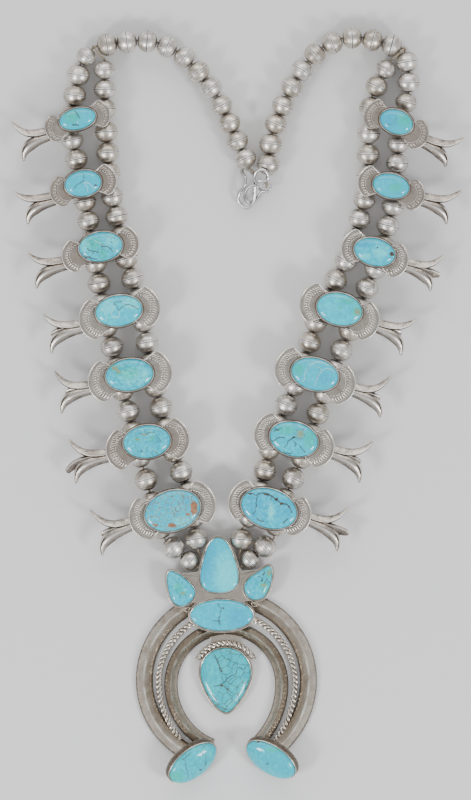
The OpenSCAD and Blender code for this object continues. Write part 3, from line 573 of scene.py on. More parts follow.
INNER_RIGHT_END = [(2.3, -53.3, Z, 1, 0), (1.5, -63.0, Z, 1, 0), (-0.9, -68.7, 2.5, 0, 0.6)]


def placed(sign, b, x, y):
    """A point of a blossom's own frame in the necklace's frame."""
    c, s = cos_sin(b["tilt"])
    return b["x"] + sign * (x * c + y * s), b["y"] - x * s + y * c


def strand(side, hold, top, end, first=2):
    """Points of a strand that runs through the shanks of the blossoms."""
    sign, rows = SIDES[side]
    middle = [(*placed(sign, b, b[hold], b["hold_y"]), STRING_Z, 3, SHANK_REST) for b in rows]
    middle[0] = (*middle[0][:BEADS], first, SHANK_REST)
    return top + middle + end


STRANDS = {
    "back_left": BACK_LEFT,
    "back_right": BACK_RIGHT,
    "outer_left": strand("left", "hold_out", OUTER_LEFT_TOP, OUTER_LEFT_END),
    "outer_right": strand("right", "hold_out", OUTER_RIGHT_TOP, OUTER_RIGHT_END),
    "inner_left": strand("left", "hold_in", INNER_LEFT_TOP, INNER_LEFT_END),
    "inner_right": strand("right", "hold_in", INNER_RIGHT_TOP, INNER_RIGHT_END, 1),
}


def directions(knots, i):
    """Directions of a strand before and after point i."""
    before, at, after = (np.array(knots[k][:3]) for k in (i - 1, i, i + 1))
    return unit(at - before), unit(after - at)


def room(knots, i):
    """Room that a bead needs before or after point i, where the thread bends."""
    if i in (0, len(knots) - 1):
        return knots[i][REST]
    before, after = directions(knots, i)
    bend = math.acos(min(1.0, before @ after))
    return knots[i][REST] + (BEAD_BORE / 2 + MOUTH_WALL) * math.tan(bend / 2) + 0.02


def bead_places(knots):
    """Middle, direction, length and diameter of each bead of a strand."""
    for i in range(1, len(knots)):
        n = knots[i][BEADS]
        if not n:
            continue
        a, b = np.array(knots[i - 1][:3]), np.array(knots[i][:3])
        d = unit(b - a)
        start, stop = a + d * room(knots, i - 1), b - d * room(knots, i)
        length = min(np.linalg.norm(stop - start) / n - BEAD_GAP, BEAD_LEN)
        # where the strand sinks to the crown, the beads stay above the table
        size = min(length * BEAD_RATIO, BEAD_D, start[2] + stop[2]) - 2 * SEAM_H
        for k in range(n):
            yield start + (stop - start) * (k + 0.5) / n, d, length, size


BEAD_SEGMENTS = 36
CORNER = 0.09
# Half of a bead's seam, from its middle: way along, height over the dome and grime. Two thin lips
# with a groove between them, and the dark corner beside each lip.
SEAM = np.array([
    (0.0, -0.12, 1.0),
    (0.13, 0.02, 0.5),
    (0.30, 0.10, 0.0),
    (0.50, 0.0, 0.1),
    (0.66, -0.12, 0.9),
])
SEAM_EDGE = dict(middle=0.36, half=0.22)
# Rows of a dome, as shares of the way from the seam to the mouth
DOME = np.array([0.10, 0.18, 0.28, 0.38, 0.48, 0.58, 0.67, 0.75, 0.82, 0.88, 0.93, 0.97])


def bead_section(length, d):
    """Way along, radius and darkness from mouth to mouth. Two domes meet in a soldered seam, and towards
    each mouth the darkness is patina with painted shade where the beads meet.
    """
    half, r, mouth = length / 2, d / 2, BEAD_BORE / 2 + MOUTH_WALL
    inner = (r * r - mouth * mouth - half * half) / (2 * (r - mouth))

    def dome(share):
        t = half * (share * (1 - CORNER) + CORNER)
        return inner + np.sqrt((r - inner) ** 2 - t * t)

    radius = mouth + (dome(DOME) - mouth) * (r - mouth) / (dome(0.0) - mouth)
    # darker towards each mouth: patina near the bore, and painted shade between neighbouring beads
    grime = 0.7 * np.clip((DOME - 0.66) / 0.34, 0, 1) ** 1.6
    section = np.concatenate([
        SEAM + [0, r, 0],
        np.stack([half * DOME, radius, grime], 1),
        [(half - 0.12, mouth + 0.16, 0.5), (half, mouth - 0.1, 0.7), (half - 0.3, BEAD_BORE / 2, 1.0)],
    ])
    return np.concatenate([section[:0:-1] * [-1, 1, 1], section]).T


def bead_string(name, knots):
    shell = Shell(*METAL)
    for middle, d, length, size in bead_places(knots):
        t, rho, dirt = bead_section(length, size)
        across = unit(np.cross([0, 0, 1.0], d))
        up = np.cross(d, across)
        a = rng.uniform(0, 6.28) + circle_angles(BEAD_SEGMENTS)
        ring = np.cos(a)[:, None] * across + np.sin(a)[:, None] * up
        local = t[:, None, None] * d + rho[:, None, None] * ring
        seed = rng.uniform(0, 50)
        dent = lumps(local, 3.2, seed) * 0.05 + lumps(local, 1.3, seed + 3) * 0.018
        skin = (np.abs(t) < length / 2 - 0.4)[:, None]
        local = local - np.where(skin, np.clip(dent, -0.02, 0.1), 0.0)[..., None] * ring
        tone = rng.uniform(0, 1)
        lip = bump(np.abs(t), **SEAM_EDGE)[:, None]
        streaks = np.clip(lumps(np.stack([8 * t, t, t], 1), 3.0, seed), 0, 1)[:, None]
        streaks = rng.uniform(0, 1) ** 4 * streaks
        shell.grid(middle + local, along=True, grime=np.clip(dirt[:, None] + streaks, 0, 1), tone=tone,
                   rub=np.maximum(0.35 + 0.5 * lumps(local, 2.4, seed + 9), lip),
                   warm=max(0.0, rng.uniform(-1.5, 0.5)))
    shell.piece("beads_" + name, "silver_bead", SILVER["bead"], sharp=75)


# Turquoise
# What each stone shows, in millimetres from its middle as it lies. cracks and frost are dark and pale
# lines, as runs x, y, x, y and on. The colours, ring and clear, which has no web, are patches as x, y
# and two radii. web is the width of the nodules and how dense the lines between them are. tone says
# how pale it is, thin how thick its cracks are, and specks, dull and halo how much it has of these.
MARKS = {
    "left_1": dict(green=[(-2.6, 0.6, 3.6, 2.6)], cracks=[(-1, 3.6, 0, 2, 1.1, 0.6), (-2.2, -2.6, 0.4,
        -3)], frost=[(0.2, -0.6, -0.3, -2.6)], tone=0.35),
    "left_2": dict(cracks=[(0.3, 4.8, 0.5, 1.1), (0.5, 1.1, -2, -0.4, -3.6, -1.7, -5, -3.6)], brown=[(5.6,
        -0.8, 0.9, 0.5)], frost=[(0.5, 1, 1.5, -1.2, 2.2, -3.8), (1.2, 0.6, 4.6, -2)], thin=0.7,
        tone=0.45),
    "left_3": dict(green=[(-2.9, 1.3, 3.2, 3), (1, -3, 2, 2.2)], web=(2.6, 0.35), specks=0.5, pale=[(-7,
        1, 2.4, 3.4), (4.5, 2.5, 3, 2.4)], cracks=[(0.6, 1.3, 1, 0.5, 1.9, 0, 4.1, -1, 5.6, -2.4), (1,
        0.6, 0.4, -0.4), (-8.4, -2.4, -6.9, -3.9, -4.4, -5, -1.2, -5.5), (4.2, 2.6, 5, 1.8), (-5.9, -0.6,
        -4.6, -1.7, -2.9, -1.9, -1.2, -2.6), (-3.2, -1.9, -3.5, -3.4)], frost=[(-2.6, 3, -0.6, 1.8, 1.5,
        0.5)], brown=[(-5.4, -4.5, 1.3, 0.35)], tone=0.5),
    "left_4": dict(cracks=[(-1.7, 2.9, -0.6, 1.7, 0.2, 0.2), (-2.2, 3.1, -0.6, 4, 1.6, 4.3), (5.5, 2.7,
        8.4, 0.5), (0.2, 0.2, 1.4, 1.6, 3.4, 3, 6, 2.4)], thin=0.8, frost=[(-7.8, 0.7, -5.8, -1.2, -5.4,
        -5.1), (-1.7, 2.9, -3.2, -1.4, -2.2, -2.7, 0, -2.7, 0.2, 0.2), (1.6, 4.3, 4.8, 2.2, 8.6, 1.4)],
        pale=[(-4.5, 2, 3.4, 3), (5, 3, 4, 2.4)], tone=0.75),
    "left_5": dict(green=[(-5.9, 2.9, 2.6, 1.6), (-4.6, 1, 1.7, 1.6), (0, 1, 4, 3)], olive=[(-6, 2.8, 1.9,
        1.1), (-4.8, 1.4, 1.1, 0.9)], specks=0.9, web=(1.3, 0.35), pale=[(1, -0.6, 4.6, 3), (5, 0, 3,
        3.2)], cracks=[(-1.4, -1.3, 0.4, -3, 2, -4.4)], thin=0.5, tone=0.6),
    "left_6": dict(web=(2.2, 0.45), specks=1, green=[(-4.3, 1, 1.6, 1), (2.2, 1.2, 1.2, 1.6)],
        cracks=[(-2.8, 3.8, -0.6, 3, 1, 4.2, 3.2, 4.3), (4.1, 3.4, 4.6, 2.2, 6.1, 0.2), (-5, 1.4, -3.6,
        0.8), (-2.4, -3.2, -1.8, -4.4), (3.8, -4, 4.4, -5)], olive=[(-4.3, 1, 0.9, 0.5), (-1, 3.3, 1.5,
        0.5)], tone=0.5),
    "left_7": dict(web=(2.8, 0.95), specks=0.4, halo=1, brown=[(9.3, 1.2, 1.6, 3), (0, -6.3, 2, 1.1),
        (-7.4, -6, 1.4, 0.7), (6.8, -1.6, 1, 0.7)], deep=[(5.3, 4.6, 2.6, 2.4), (-1.7, 2.4, 1.9, 1.8),
        (-9.5, 3, 1.8, 2.8)], pale=[(4, -4.6, 3.4, 1.8)], tone=0.45),
    "right_1": dict(cracks=[(-4.6, -1.2, -1.7, -1, 0, 1.7)], thin=0.45, deep=[(-2.5, 0.5, 4, 3.6)],
        green=[(3.6, 0.6, 3.4, 3)], tone=0.3),
    "right_2": dict(cracks=[(5.7, -0.7, 5.4, -2.7, 1.5, -4.1)], thin=0.3, green=[(1.8, -0.8, 3, 2)],
        tone=0.25),
    "right_3": dict(brown=[(7.5, -0.8, 0.9, 1), (1.2, 1.9, 0.35, 0.3)], deep=[(-4.5, 3.2, 3.2, 1.8)],
        specks=0.35, pale=[(2.5, 0, 3, 2.4), (-4.5, -2, 2.4, 1.4)], tone=0.4),
    "right_4": dict(green=[(7.4, -0.9, 2.2, 2.6), (0.7, 1, 0.9, 0.8), (3.6, 3.4, 3.4, 1.4)], olive=[(7.9,
        -1.2, 1.2, 1.6)], tone=0.9, specks=0.1),
    "right_5": dict(frost=[(-1.3, 4.8, -2.6, 2.8, -4.2, 1.2, -4.6, -2.2, -6.1, -3.3), (-0.8, 4.6, 2.6,
        1.7, 0.7, -2.2, 0, -5.2), (2.6, 1.7, 5.5, 2.7, 8.6, 0.7), (-0.8, 4.8, 2.6, 5.3, 7.4, 3.6)],
        cracks=[(-2, 3.8, -3.4, 1.9), (-0.4, 4.4, 2.4, 2), (2.2, 1.2, 0.9, -1.6)], thin=0.5, green=[(-7,
        2, 2.6, 2.6)], deep=[(4.5, -2, 3.2, 2.4)], tone=0.4),
    "right_6": dict(cracks=[(0.3, 1, -2.1, -0.7, -3.3, -2.7, -4.3, -5.6, -1, -6.2), (-0.3, -0.5, 0.8,
        -2.2, 0.3, -3.3), (2.5, -3, 4.9, -5.6), (-9.4, -0.9, -6.7, 0.5, -4, 0.6), (-8.8, 3.4, -7.2, 3.9,
        -5.6, 4.8), (-8.4, 4.3, -6.6, 3.6)], olive=[(2.8, 2.2, 1.6, 2.1)], ring=[(2.8, 2.2, 1.9, 2.4)],
        brown=[(0.4, 1, 0.7, 0.35)], green=[(-3, 4, 4, 2.2), (6.8, 0, 2.6, 4)], specks=0.3, tone=0.5),
    "right_7": dict(cracks=[(-8.4, 6.6, -5.7, 6.1, -3.4, 6.8, 1.1, 5.4, 3, 4.1, 5.7, 2.3, 8.9, 0.9, 9.8,
        -2.3), (-5, 5.5, -5.3, 3.2, -6, -1.4), (-6, -1.2, -7.2, -2.4), (-5.4, -4, -4.2, -5.2, -2.2, -5.6),
        (5.9, -6.4, 8, -4.6), (1.1, 5.4, 1, 3.8), (5.7, 2.3, 4.6, 1.2)], brown=[(3, 4.1, 1, 0.8), (5.7,
        2.3, 0.9, 0.5), (8.6, 0.8, 0.8, 0.4), (-8.2, 6.4, 0.9, 0.5), (-1, 6.2, 1.3, 0.4), (-4.6, -5, 0.7,
        0.4)], frost=[(0.6, 2, 1.2, 0.2, 0.9, -3)], pale=[(1, -2, 1.6, 4)], specks=0.45, deep=[(-4, 0, 7,
        8), (6, 0, 5, 5)], thin=1.1, tone=0.3),
    "pear": dict(deep=[(-5.5, 2, 4.6, 9)], pale=[(3.5, -3, 5.5, 9)], tone=0.45),
    "leaf_left": dict(green=[(-0.9, 0.3, 2.2, 2), (0.8, -2.3, 2.2, 1.3)], olive=[(0.9, -2.2, 1.2, 0.6)],
        cracks=[(1.2, 4.6, 2.6, 3.4, 3.6, 2.2), (2, -3, 2.8, -3.8), (-2.6, 3.6, -0.8, 2.4)], thin=0.6,
        specks=0.6, web=(1.8, 0.25), tone=0.4),
    "leaf_right": dict(green=[(4.3, 4.3, 1.5, 2), (1.9, -0.9, 2.4, 1.6), (3.2, -3.2, 2, 1.4)],
        olive=[(4.5, 4.6, 1, 1.3), (2.2, -1, 1.1, 0.7)], specks=0.5, web=(2, 0.2), cracks=[(-0.2, 3, 1.4,
        2.4, 1.4, 1), (3.4, 1.8, 4.2, 0.8, 5.2, -0.3), (2.6, 5.6, 1.8, 3.6), (3.6, 2.4, 2.4, -0.4)],
        tone=0.35),
    "oval": dict(cracks=[(-1.7, 5.9, -0.3, 2.8, -0.5, 0.4, -1.5, -2, -0.3, -6), (-4.3, -2.5, -2.6, -2.4,
        -0.8, -2.7), (-0.4, 3, 0.8, 3.6)], thin=0.8, brown=[(10.5, 4.1, 0.5, 0.4), (0.8, 3, 0.4, 0.5)],
        deep=[(7, -1, 5, 4.5)], specks=0.25, tone=0.35),
    "drop": dict(web=(3.4, 0.85), clear=[(-7.6, 0, 5.2, 11)], cracks=[(-5.2, 11.2, -3.9, 8.3, -2.4, 4.4,
        -1.5, 3.6), (-5.6, -3, -2.1, -2.4, 0.8, 0.6, 3.2, 2.1), (-5.9, -6.9, -3.9, -8.9), (-2.1, -2.4,
        0.6, -4.4)], brown=[(-2.1, -2.5, 0.5, 0.5), (0.7, -4.2, 0.4, 0.4), (-1.7, 3.8, 0.6, 0.4)],
        tone=0.95, dull=1),
    "tip_left": dict(cracks=[(5.6, 6.2, 4.1, 3.9, 4.4, 1.2, 5.9, 0.1, 5.6, -3.5), (-5.4, -0.4, -3.6, -1.1,
        -2.4, -5.9, -2.1, -9), (-3.6, -0.4, -1.2, 2.1)], green=[(-7.3, -8.4, 3, 2.8)], brown=[(3, -5, 0.6,
        0.35), (-4.4, -5.3, 0.4, 0.3)], tone=0.95, dull=0.8, thin=0.8),
    "tip_right": dict(brown=[(-1.5, -4.1, 0.4, 0.3), (-5.6, 5.7, 0.6, 0.4)], green=[(0.9, 2, 3.2, 1)],
        tone=0.6, dull=0.5),
}
PATCHES = ("brown", "green", "olive", "pale", "deep", "clear")
NEAR = 3.0


def run_distance(points, runs):
    """Distance of each point to the nearest of some runs of points, at most NEAR."""
    best = np.full(len(points), NEAR)
    for run in runs:
        run = np.reshape(run, (-1, 2))
        if len(run) > 2:
            run = smooth(run, 3)
        for a, b in zip(run[:-1], run[1:]):
            t = np.clip(((points - a) @ (b - a)) / max((b - a) @ (b - a), 1e-9), 0, 1)
            best = np.minimum(best, np.linalg.norm(points - a - t[:, None] * (b - a), axis=1))
    return best


def patch_field(points, patches):
    """1 in the middle of a patch, 0 at its edge and below outside."""
    best = np.full(len(points), -1.0)
    for x, y, rx, ry in patches:
        best = np.maximum(best, 1 - np.hypot((points[:, 0] - x) / rx, (points[:, 1] - y) / ry))
    return best


# Colours of a bright and of a dull stone
BLUE = ((0.0, 0.57, 0.76), (0.0, 0.47, 0.58))
PALE = ((0.01, 0.76, 0.88), (0.02, 0.60, 0.68))
# Colours of the matrix: in plain stones, and with the brown halo that one stone has
VEIN = (((0.03, 0.02, 0.017), (0.08, 0.07, 0.067)), ((0.12, 0.07, 0.04), (0.22, 0.11, 0.06)))
BROWN = (((0.035, 0.02, 0.016), (0.185, 0.09, 0.046)), ((0.12, 0.065, 0.04), (0.44, 0.205, 0.10)))
OCHRE = ((0.34, 0.34, 0.14), (0.16, 0.36, 0.25))
# Patches of another colour: colour, softness of the edge, strength
TINTS = {
    "deep": ((0.0, 0.44, 0.70), 0.6, 0.75),
    "pale": ((0.12, 0.90, 0.95), 0.6, 0.7),
    "green": ((0.01, 0.54, 0.42), 0.55, 0.75),
}


def turquoise(name, web=(3.0, 0.0), specks=0.15, tone=0.5, thin=1.0, dull=0.0, halo=0.0, **_):
    """Polished turquoise. Its marks are the point values that stone() writes."""
    n = Nodes("turquoise_" + name, Specular_IOR_Level=0.5)
    place = n.warped(1.5, 1.3)
    cloud = n.noise(6.0, 4.0, 0.6, 0.6)
    mottle = n.noise(1.5, 4.0, 0.6, 0.3)
    fine = n.noise(0.45, 3.0, 0.6)
    coarse = mottle + fine
    jitter = (mottle - 0.5) * 1.1
    shake = (fine - 0.5) * 0.35
    colour = n.mix(n.map(cloud + jitter, 0.75 - 0.5 * tone, 1.25 - 0.5 * tone), blend(dull, *BLUE),
                   blend(dull, *PALE))
    for kind, (tint, soft, strength) in TINTS.items():
        colour = n.mix(n.map(n.value(kind) + jitter, -soft, soft, 0.0, strength), colour, tint)
    speckled = min(0.6, specks)
    colour = n.mix(n.map(fine, 0.56, 0.74, 0.0, 0.2), colour, (0.36, 0.94, 0.96))
    colour = n.mix(n.map(mottle, 0.52, 0.66, 0.0, speckled), colour, (0.15, 0.90, 0.94))
    colour = n.mix(n.map(mottle, 0.48, 0.36, 0.0, speckled), colour, (0.0, 0.30, 0.44))
    # web of matrix between the nodules
    nodule, density = web
    edge = n.cells(nodule, place)
    small = n.cells(nodule * 0.55, place)
    spread = (0.3 - 0.05 * halo) * density
    gaps = n.map(n.noise(3.0, 2.0), 0.55 - spread, 0.66 - spread)
    line = n.map(edge + fine * 0.04, 0.035 - 0.004 * halo, 0.085 - 0.012 * halo, 1.0, 0.0) * gaps
    colour = n.mix(n.map(edge, 0.16, 0.05, 0.0, 0.22 * halo) * gaps, colour, (0.50, 0.72, 0.64))
    line = n.most(line, n.map(small, 0.01, 0.05, 0.6, 0.0) * n.map(mottle, 0.5, 0.62))
    line = line * n.map(n.value("clear"), -0.15, 0.15, density, 0.0)
    spot = n.map(n.noise(0.55, 2.0, 0.5, 0.5), 0.70, 0.76) * specks
    # listed lines, with a little of the noise in their edges
    crack = n.map(n.value("crack") + shake, 0.11 * thin, 0.31 * thin + 0.05, 1.0, 0.0)
    dark = n.most(line, spot, crack * (0.6 + 0.4 * thin))
    colour = n.mix(n.map(n.value("frost") + shake, 0.06, 0.30, 0.55, 0.0), colour, (0.62, 0.88, 0.92))
    colour = n.mix(dark * 0.9, colour, n.mix(mottle, *(blend(halo, *c) for c in VEIN)))
    ochre = n.mix(n.map(coarse, 0.8, 1.25), *OCHRE)
    colour = n.mix(n.map(n.value("olive") + jitter, -0.2, 0.35, 0.0, 0.9), colour, ochre)
    brown = n.mix(n.map(coarse, 0.8, 1.2), *(blend(halo, *c) for c in BROWN))
    rim = n.map(n.value("brown") + jitter * 0.8, -0.12, 0.16)
    colour = n.mix(rim, colour, brown)
    colour = n.mix(n.value("ring"), colour, (0.20, 0.11, 0.05))
    pit = n.most(dark, rim)
    return n.finish(Base_Color=colour, Roughness=n.map(pit + fine * 0.25, 0.0, 1.1, 0.10, 0.45),
                    Normal=n.bump(cloud * 0.5 - pit * 0.6, 0.08, 0.25))


STONE_WALL = 0.8 * BEZEL_H
STONE_ROWS = 40
STONE_SIDES = 112
BIG_STONE_SIDES = 128


def stone(name, outline, h, wall, at, turn=None, middle=None):
    """A polished cabochon on its outline: a low wall and a dome. turn and at set it in its cup, and
    its marks are counted from middle."""
    quarter = np.linspace(0, np.pi / 2, STONE_ROWS)
    shrink = np.cos(quarter)
    shrink[-1] = 0.02
    steps = [(0.97, 0.0), (1.0, 0.08), (1.0, wall * 0.5)]
    steps += list(zip(shrink, wall + (h - wall) * np.sin(quarter) ** 0.94))
    points = np.array([np.column_stack([outline * s, np.full(len(outline), z)]) for s, z in steps])
    if turn is not None:
        points = points @ turn.T
    points = points + np.asarray(at)
    marks = MARKS[name]
    flat = points.reshape(-1, 3)[:, :2] - (at[:2] if middle is None else middle)
    spots = np.column_stack([flat, np.zeros(len(flat))])
    flat = flat + np.stack([0.4 * lumps(spots, 1.6, k) + 0.14 * lumps(spots, 0.6, k + 2)
                            for k in (1, 8)], 1)
    values = {kind: patch_field(flat, marks.get(kind, [])) for kind in PATCHES}
    values["crack"] = run_distance(flat, marks.get("cracks", []))
    values["frost"] = run_distance(flat, marks.get("frost", []))
    ring = np.clip(1 - np.abs(patch_field(flat, marks.get("ring", [])) * 5), 0, 1)
    values["ring"] = ring * np.clip(0.7 + 1.2 * lumps(spots, 1.2, 5), 0, 1)
    points = points + lumps(points, 5.0, 4)[..., None] * [0, 0, 0.05]
    shell = Shell(*values)
    shell.grid(points, **{k: v.reshape(points.shape[:2]) for k, v in values.items()})
    shell.piece("stone_" + name, "turquoise", turquoise(name, **marks), sharp=60)


PLATE_TOP = PLATE_Z + PLATE_T
for side, (sign, rows) in SIDES.items():
    for i, b in enumerate(rows):
        outline = oval(b["stone_l"], b["stone_w"], STONE_SIDES) @ turn_z(-b["tilt"] * sign)[:2, :2].T
        stone(f"{side}_{i + 1}", outline, STONE_H, STONE_WALL, (b["x"], b["y"], PLATE_TOP + STONE_GAP))

CROWN_STONE_Z = CROWN_Z + CROWN_T + STONE_GAP
SETTINGS = {
    "pear": (smooth(PEAR, 12, True), PEAR_AT),
    "leaf_left": (smooth(LEAF_LEFT, 10, True), LEAF_LEFT_AT),
    "leaf_right": (smooth(LEAF_RIGHT, 10, True), LEAF_RIGHT_AT),
    "oval": (oval(*OVAL_SIZE, BIG_STONE_SIDES), OVAL_AT),
}
for name, (outline, at) in SETTINGS.items():
    stone(name, outline, CROWN_STONE_H, STONE_WALL, (*at, CROWN_STONE_Z))
DROP_LINE = smooth(DROP, 9, True)
stone("drop", DROP_LINE, STONE_H, STONE_WALL, (*DROP_AT, DROP_Z + CROWN_T + STONE_GAP))


def cup_turn(degrees):
    """Axes of an end cup's frame, as the columns of a matrix."""
    c, s = cos_sin(CUP_TILT)
    return turn_z(degrees) @ np.array([[1.0, 0, 0], [0, c, -s], [0, s, c]])


CUP_LINE = oval(*CUP_SIZE, BIG_STONE_SIDES)
CUP_STONE_H = STONE_H + 0.6
TIP_MIDDLES = {"left": (-19.2, -153.0), "right": (14.6, -151.5)}
for side, (at, degrees) in CUPS.items():
    turn = cup_turn(degrees)
    place = np.array([*at, CUP_Z]) + turn @ [0, 0, STONE_GAP - CUP_RECESS]
    stone("tip_" + side, CUP_LINE, CUP_STONE_H, CUP_RECESS, place, turn, TIP_MIDDLES[side])


# Blossoms
WING_COLS = 141
STAMP_PITCH = 1.25
DOT_PITCH = 0.8
BAND = (0.65, 0.81)
DOT_LINE = 0.575
DOT_LINE_HALF = 0.03
CORNER_R = 1.5
INNER_MORE = 0.7
PLATE_EDGE = 0.14
BAND_ROWS = 12
STROKE_H = 0.18
FRAME_H = 0.08
RAIL_H = 0.28
# Where the field's rows of points lie on the way from the borders to the point of the rays
FIELD_ROWS = np.array([0.85, 0.5, 0.2])
# Ways in from a wing's edge of the rows of points on its rim, and those of its dotted line
RIM_ROWS = np.array([0.0, 0.06, 0.15, 0.28, 0.42, 0.54, 0.66, 0.82])
DOT_ROWS = DOT_LINE_HALF * np.array([1.6, 1.0, 0.5, 0.0, -0.5, -1.0])
# The two stamped borders: slanting strokes with a line of dots, or soft bumps with a plain ridge.
# rim, stroke and rail say how bright wear keeps these, dirt how dark it is between the strokes.
SLANTING = dict(pitch=STAMP_PITCH, slant=0.45, rim=1.2, stroke=0.7, rail=0.9, dirt=0.58, dots=True)
PLAIN = dict(pitch=1.2 * STAMP_PITCH, slant=0.0, rim=0.6, stroke=0.35, rail=0.5, dirt=0.35, dots=False)


def wing(put, centre, r, seed, kind):
    """A stamped wing: raised rim, a stamped band, a line of dots or a plain ridge, and a plain field.
    Its rays run from a point of its own circle, so its sides are straight."""
    theta = np.linspace(-1, 1, WING_COLS) * math.radians(WING_ANGLE)
    phi = theta / 2
    low, high, dot_r = BAND[0] * r, BAND[1] * r, DOT_LINE * r
    rows = np.concatenate([r - RIM_ROWS, [high + 0.35], np.linspace(high + 0.12, low - 0.12, BAND_ROWS),
                           dot_r + r * DOT_ROWS])
    from_corner = (math.radians(WING_ANGLE) - np.abs(theta)) * r
    cut = CORNER_R - np.sqrt(np.maximum(0, CORNER_R ** 2 - np.maximum(0, CORNER_R - from_corner) ** 2))
    rho = rows[:, None] - cut * np.clip((rows[:, None] - dot_r) / (r - dot_r), 0, 1) ** 1.5
    run = r * np.cos(phi) + np.sqrt(np.maximum(0, rho ** 2 - (r * np.sin(phi)) ** 2))
    # towards the stone the rays go on at the level of the plate
    run = np.concatenate([run, run[-1:] * FIELD_ROWS[:, None]])
    x, y = -r + run * np.cos(phi), run * np.sin(phi)
    side = run * np.sin(math.radians(WING_ANGLE / 2) - np.abs(phi))
    arc, edge = theta * r, rows[:, None]
    spots = np.stack([x, y, 0 * x], -1)
    field = cosine_step(side / 1.2)[:len(rows)]
    band = cosine_step((high - edge) / 0.25) * cosine_step((edge - low) / 0.25) * field
    wave = np.cos(2 * np.pi * (arc + kind["slant"] * (edge - low)) / kind["pitch"])
    dotted = bump(edge, dot_r, DOT_LINE_HALF * r) * field
    dots = np.cos(2 * np.pi * arc * DOT_LINE / DOT_PITCH) if kind["dots"] else np.full_like(wave, 0.6)
    frame_lines = (bump(edge, high + 0.1, 0.14) + bump(edge, low - 0.1, 0.14)) * field
    rim = bump(edge, r - 0.28, 0.36)
    relief = RIM_H * rim + STROKE_H * band * np.clip(wave + 0.2, -0.4, 1) + FRAME_H * frame_lines
    relief = relief + dotted * (0.12 + 0.18 * np.clip(dots, -0.6, 1))
    relief = np.concatenate([relief, np.zeros((len(FIELD_ROWS), WING_COLS))])
    rail = bump(side, 0.25, 0.3) * (run > 0.98 * run[len(rows) - 1])
    relief = np.maximum(relief, RAIL_H * rail)
    top = PLATE_TOP + relief + 0.05 * lumps(spots, 4.0, seed + 3) * (run > r)
    top[len(rows):] = PLATE_TOP - 0.03
    top[0] -= 0.06
    wear = 0.2 + 0.35 * lumps(spots, 2.5, seed)
    wear[:len(rows)] += (kind["rim"] * rim + kind["stroke"] * band * np.clip(wave, 0, 1)
                         + 1.3 * dotted * np.clip(dots + 0.3, 0, 1))
    wear = np.maximum(wear, kind["rail"] * rail)
    dirt = 0.04 + 0.17 * lumps(spots, 3.0, seed + 5)
    dirt[:len(rows)] += (kind["dirt"] * band * np.clip(0.2 - wave, 0, 1)
                         + 0.3 * bump(edge, r - 0.68, 0.14) + 0.8 * dotted * np.clip(0.1 - dots, 0, 1)
                         + 0.5 * bump(edge, low - 0.12, 0.16) * field)
    dirt = dirt * (1 - rail)
    near = 0.6 * cosine_step(1 - (np.hypot(x, y) - 0.3 * r) / (0.35 * r))
    # closed section: along the top, down to the underside and back up the outer edge
    out = run[0]
    loop_run = np.concatenate([run, run[-1:], out[None] - 0.15, out[None], out[None] + 0.02])
    under = np.full(WING_COLS, PLATE_Z)
    loop_z = np.concatenate([top, under[None], under[None], under[None] + 0.15, top[:1] - 0.2])
    pad = np.zeros((4, WING_COLS))
    px, py = -r + loop_run * np.cos(phi), loop_run * np.sin(phi)
    points = np.stack([px + centre[0], py + centre[1], loop_z], -1).transpose(1, 0, 2)
    layers = {"grime": np.clip(dirt, 0, 1), "rub": np.clip(wear, 0, 1), "warm": near}
    put(points, **{k: np.concatenate([v, pad + 0.3]).T for k, v in layers.items()})


def base_plate(put, l, w):
    top = PLATE_TOP + 0.02
    outline = oval(l, w, STONE_SIDES)
    put(loft(outline, [(-0.16, PLATE_Z), (0, PLATE_Z + 0.14), (0.0, top - PLATE_EDGE), (-0.05, top - 0.04),
                       (-0.16, top), (-0.9, top)]), grime=0.75, rub=0.0, warm=0.5)


def bezel(put, outline, z, seed):
    """Thin wall round a stone, pressed in over its edge."""
    gap, t, high = STONE_GAP, BEZEL_T, z + BEZEL_H
    profile = [(gap, z - 0.05), (gap, high - 0.35), (gap - 0.05, high - 0.14), (gap + 0.06, high - 0.01),
               (gap + 0.26, high + 0.02), (gap + t - 0.1, high - 0.16), (gap + t - 0.02, high - 0.5),
               (gap + t + 0.02, z + 0.25), (gap + t + 0.08, z - 0.05)]
    points = loft(outline, profile)
    wobble = lumps(points, 2.6, seed)
    points[2:6, :, 2] += 0.05 * wobble[2:6]
    rub = np.array([0, 0.1, 0.4, 0.65, 0.5, 0.3, 0.2, 0.1, 0])[:, None] + 0.6 * wobble
    grime = np.array([1, 0.9, 0.6, 0.15, 0.1, 0.3, 0.6, 0.9, 1])[:, None] - 0.2 * wobble
    put(points, along=True, rub=np.clip(rub, 0, 1), grime=np.clip(grime, 0, 1))


def ear(put, x, y, z, top, degrees):
    """Drilled shank under a plate, square to its strand."""
    half = SHANK_W / 2
    angles = np.sort(np.concatenate([np.linspace(-np.pi, 0, 15), np.linspace(0.2, np.pi - 0.2, 10),
                                     np.arctan2(top - z, [half, -half])]))
    c, s = np.cos(angles), np.sin(angles)
    reach = np.where(s <= 0, half, np.minimum(half / np.maximum(np.abs(c), 1e-6),
                                              (top - z) / np.maximum(s, 1e-6)))
    outline = np.stack([c * reach, s * reach], 1)
    hole = np.stack([c, s], 1) * SHANK_BORE / 2
    t = SHANK_T / 2
    rings = []
    for share, depth in ((0.0, -t + 0.12), (0.12, -t), (0.9, -t), (1.0, -t + 0.08),
                         (1.0, t - 0.08), (0.9, t), (0.12, t), (0.0, t - 0.12)):
        p = outline * (1 - share) + hole * share
        rings.append(np.column_stack([p[:, 0], np.full(len(p), depth), z + p[:, 1]]))
    points = np.array(rings)
    put(points @ turn_z(degrees).T + [x, y, 0], along=True, grime=0.5, rub=0.2)


HORN_COLS = 22
HORN_ROWS = 30
FOLD_COL = 3
PETAL_EDGE = 0.12
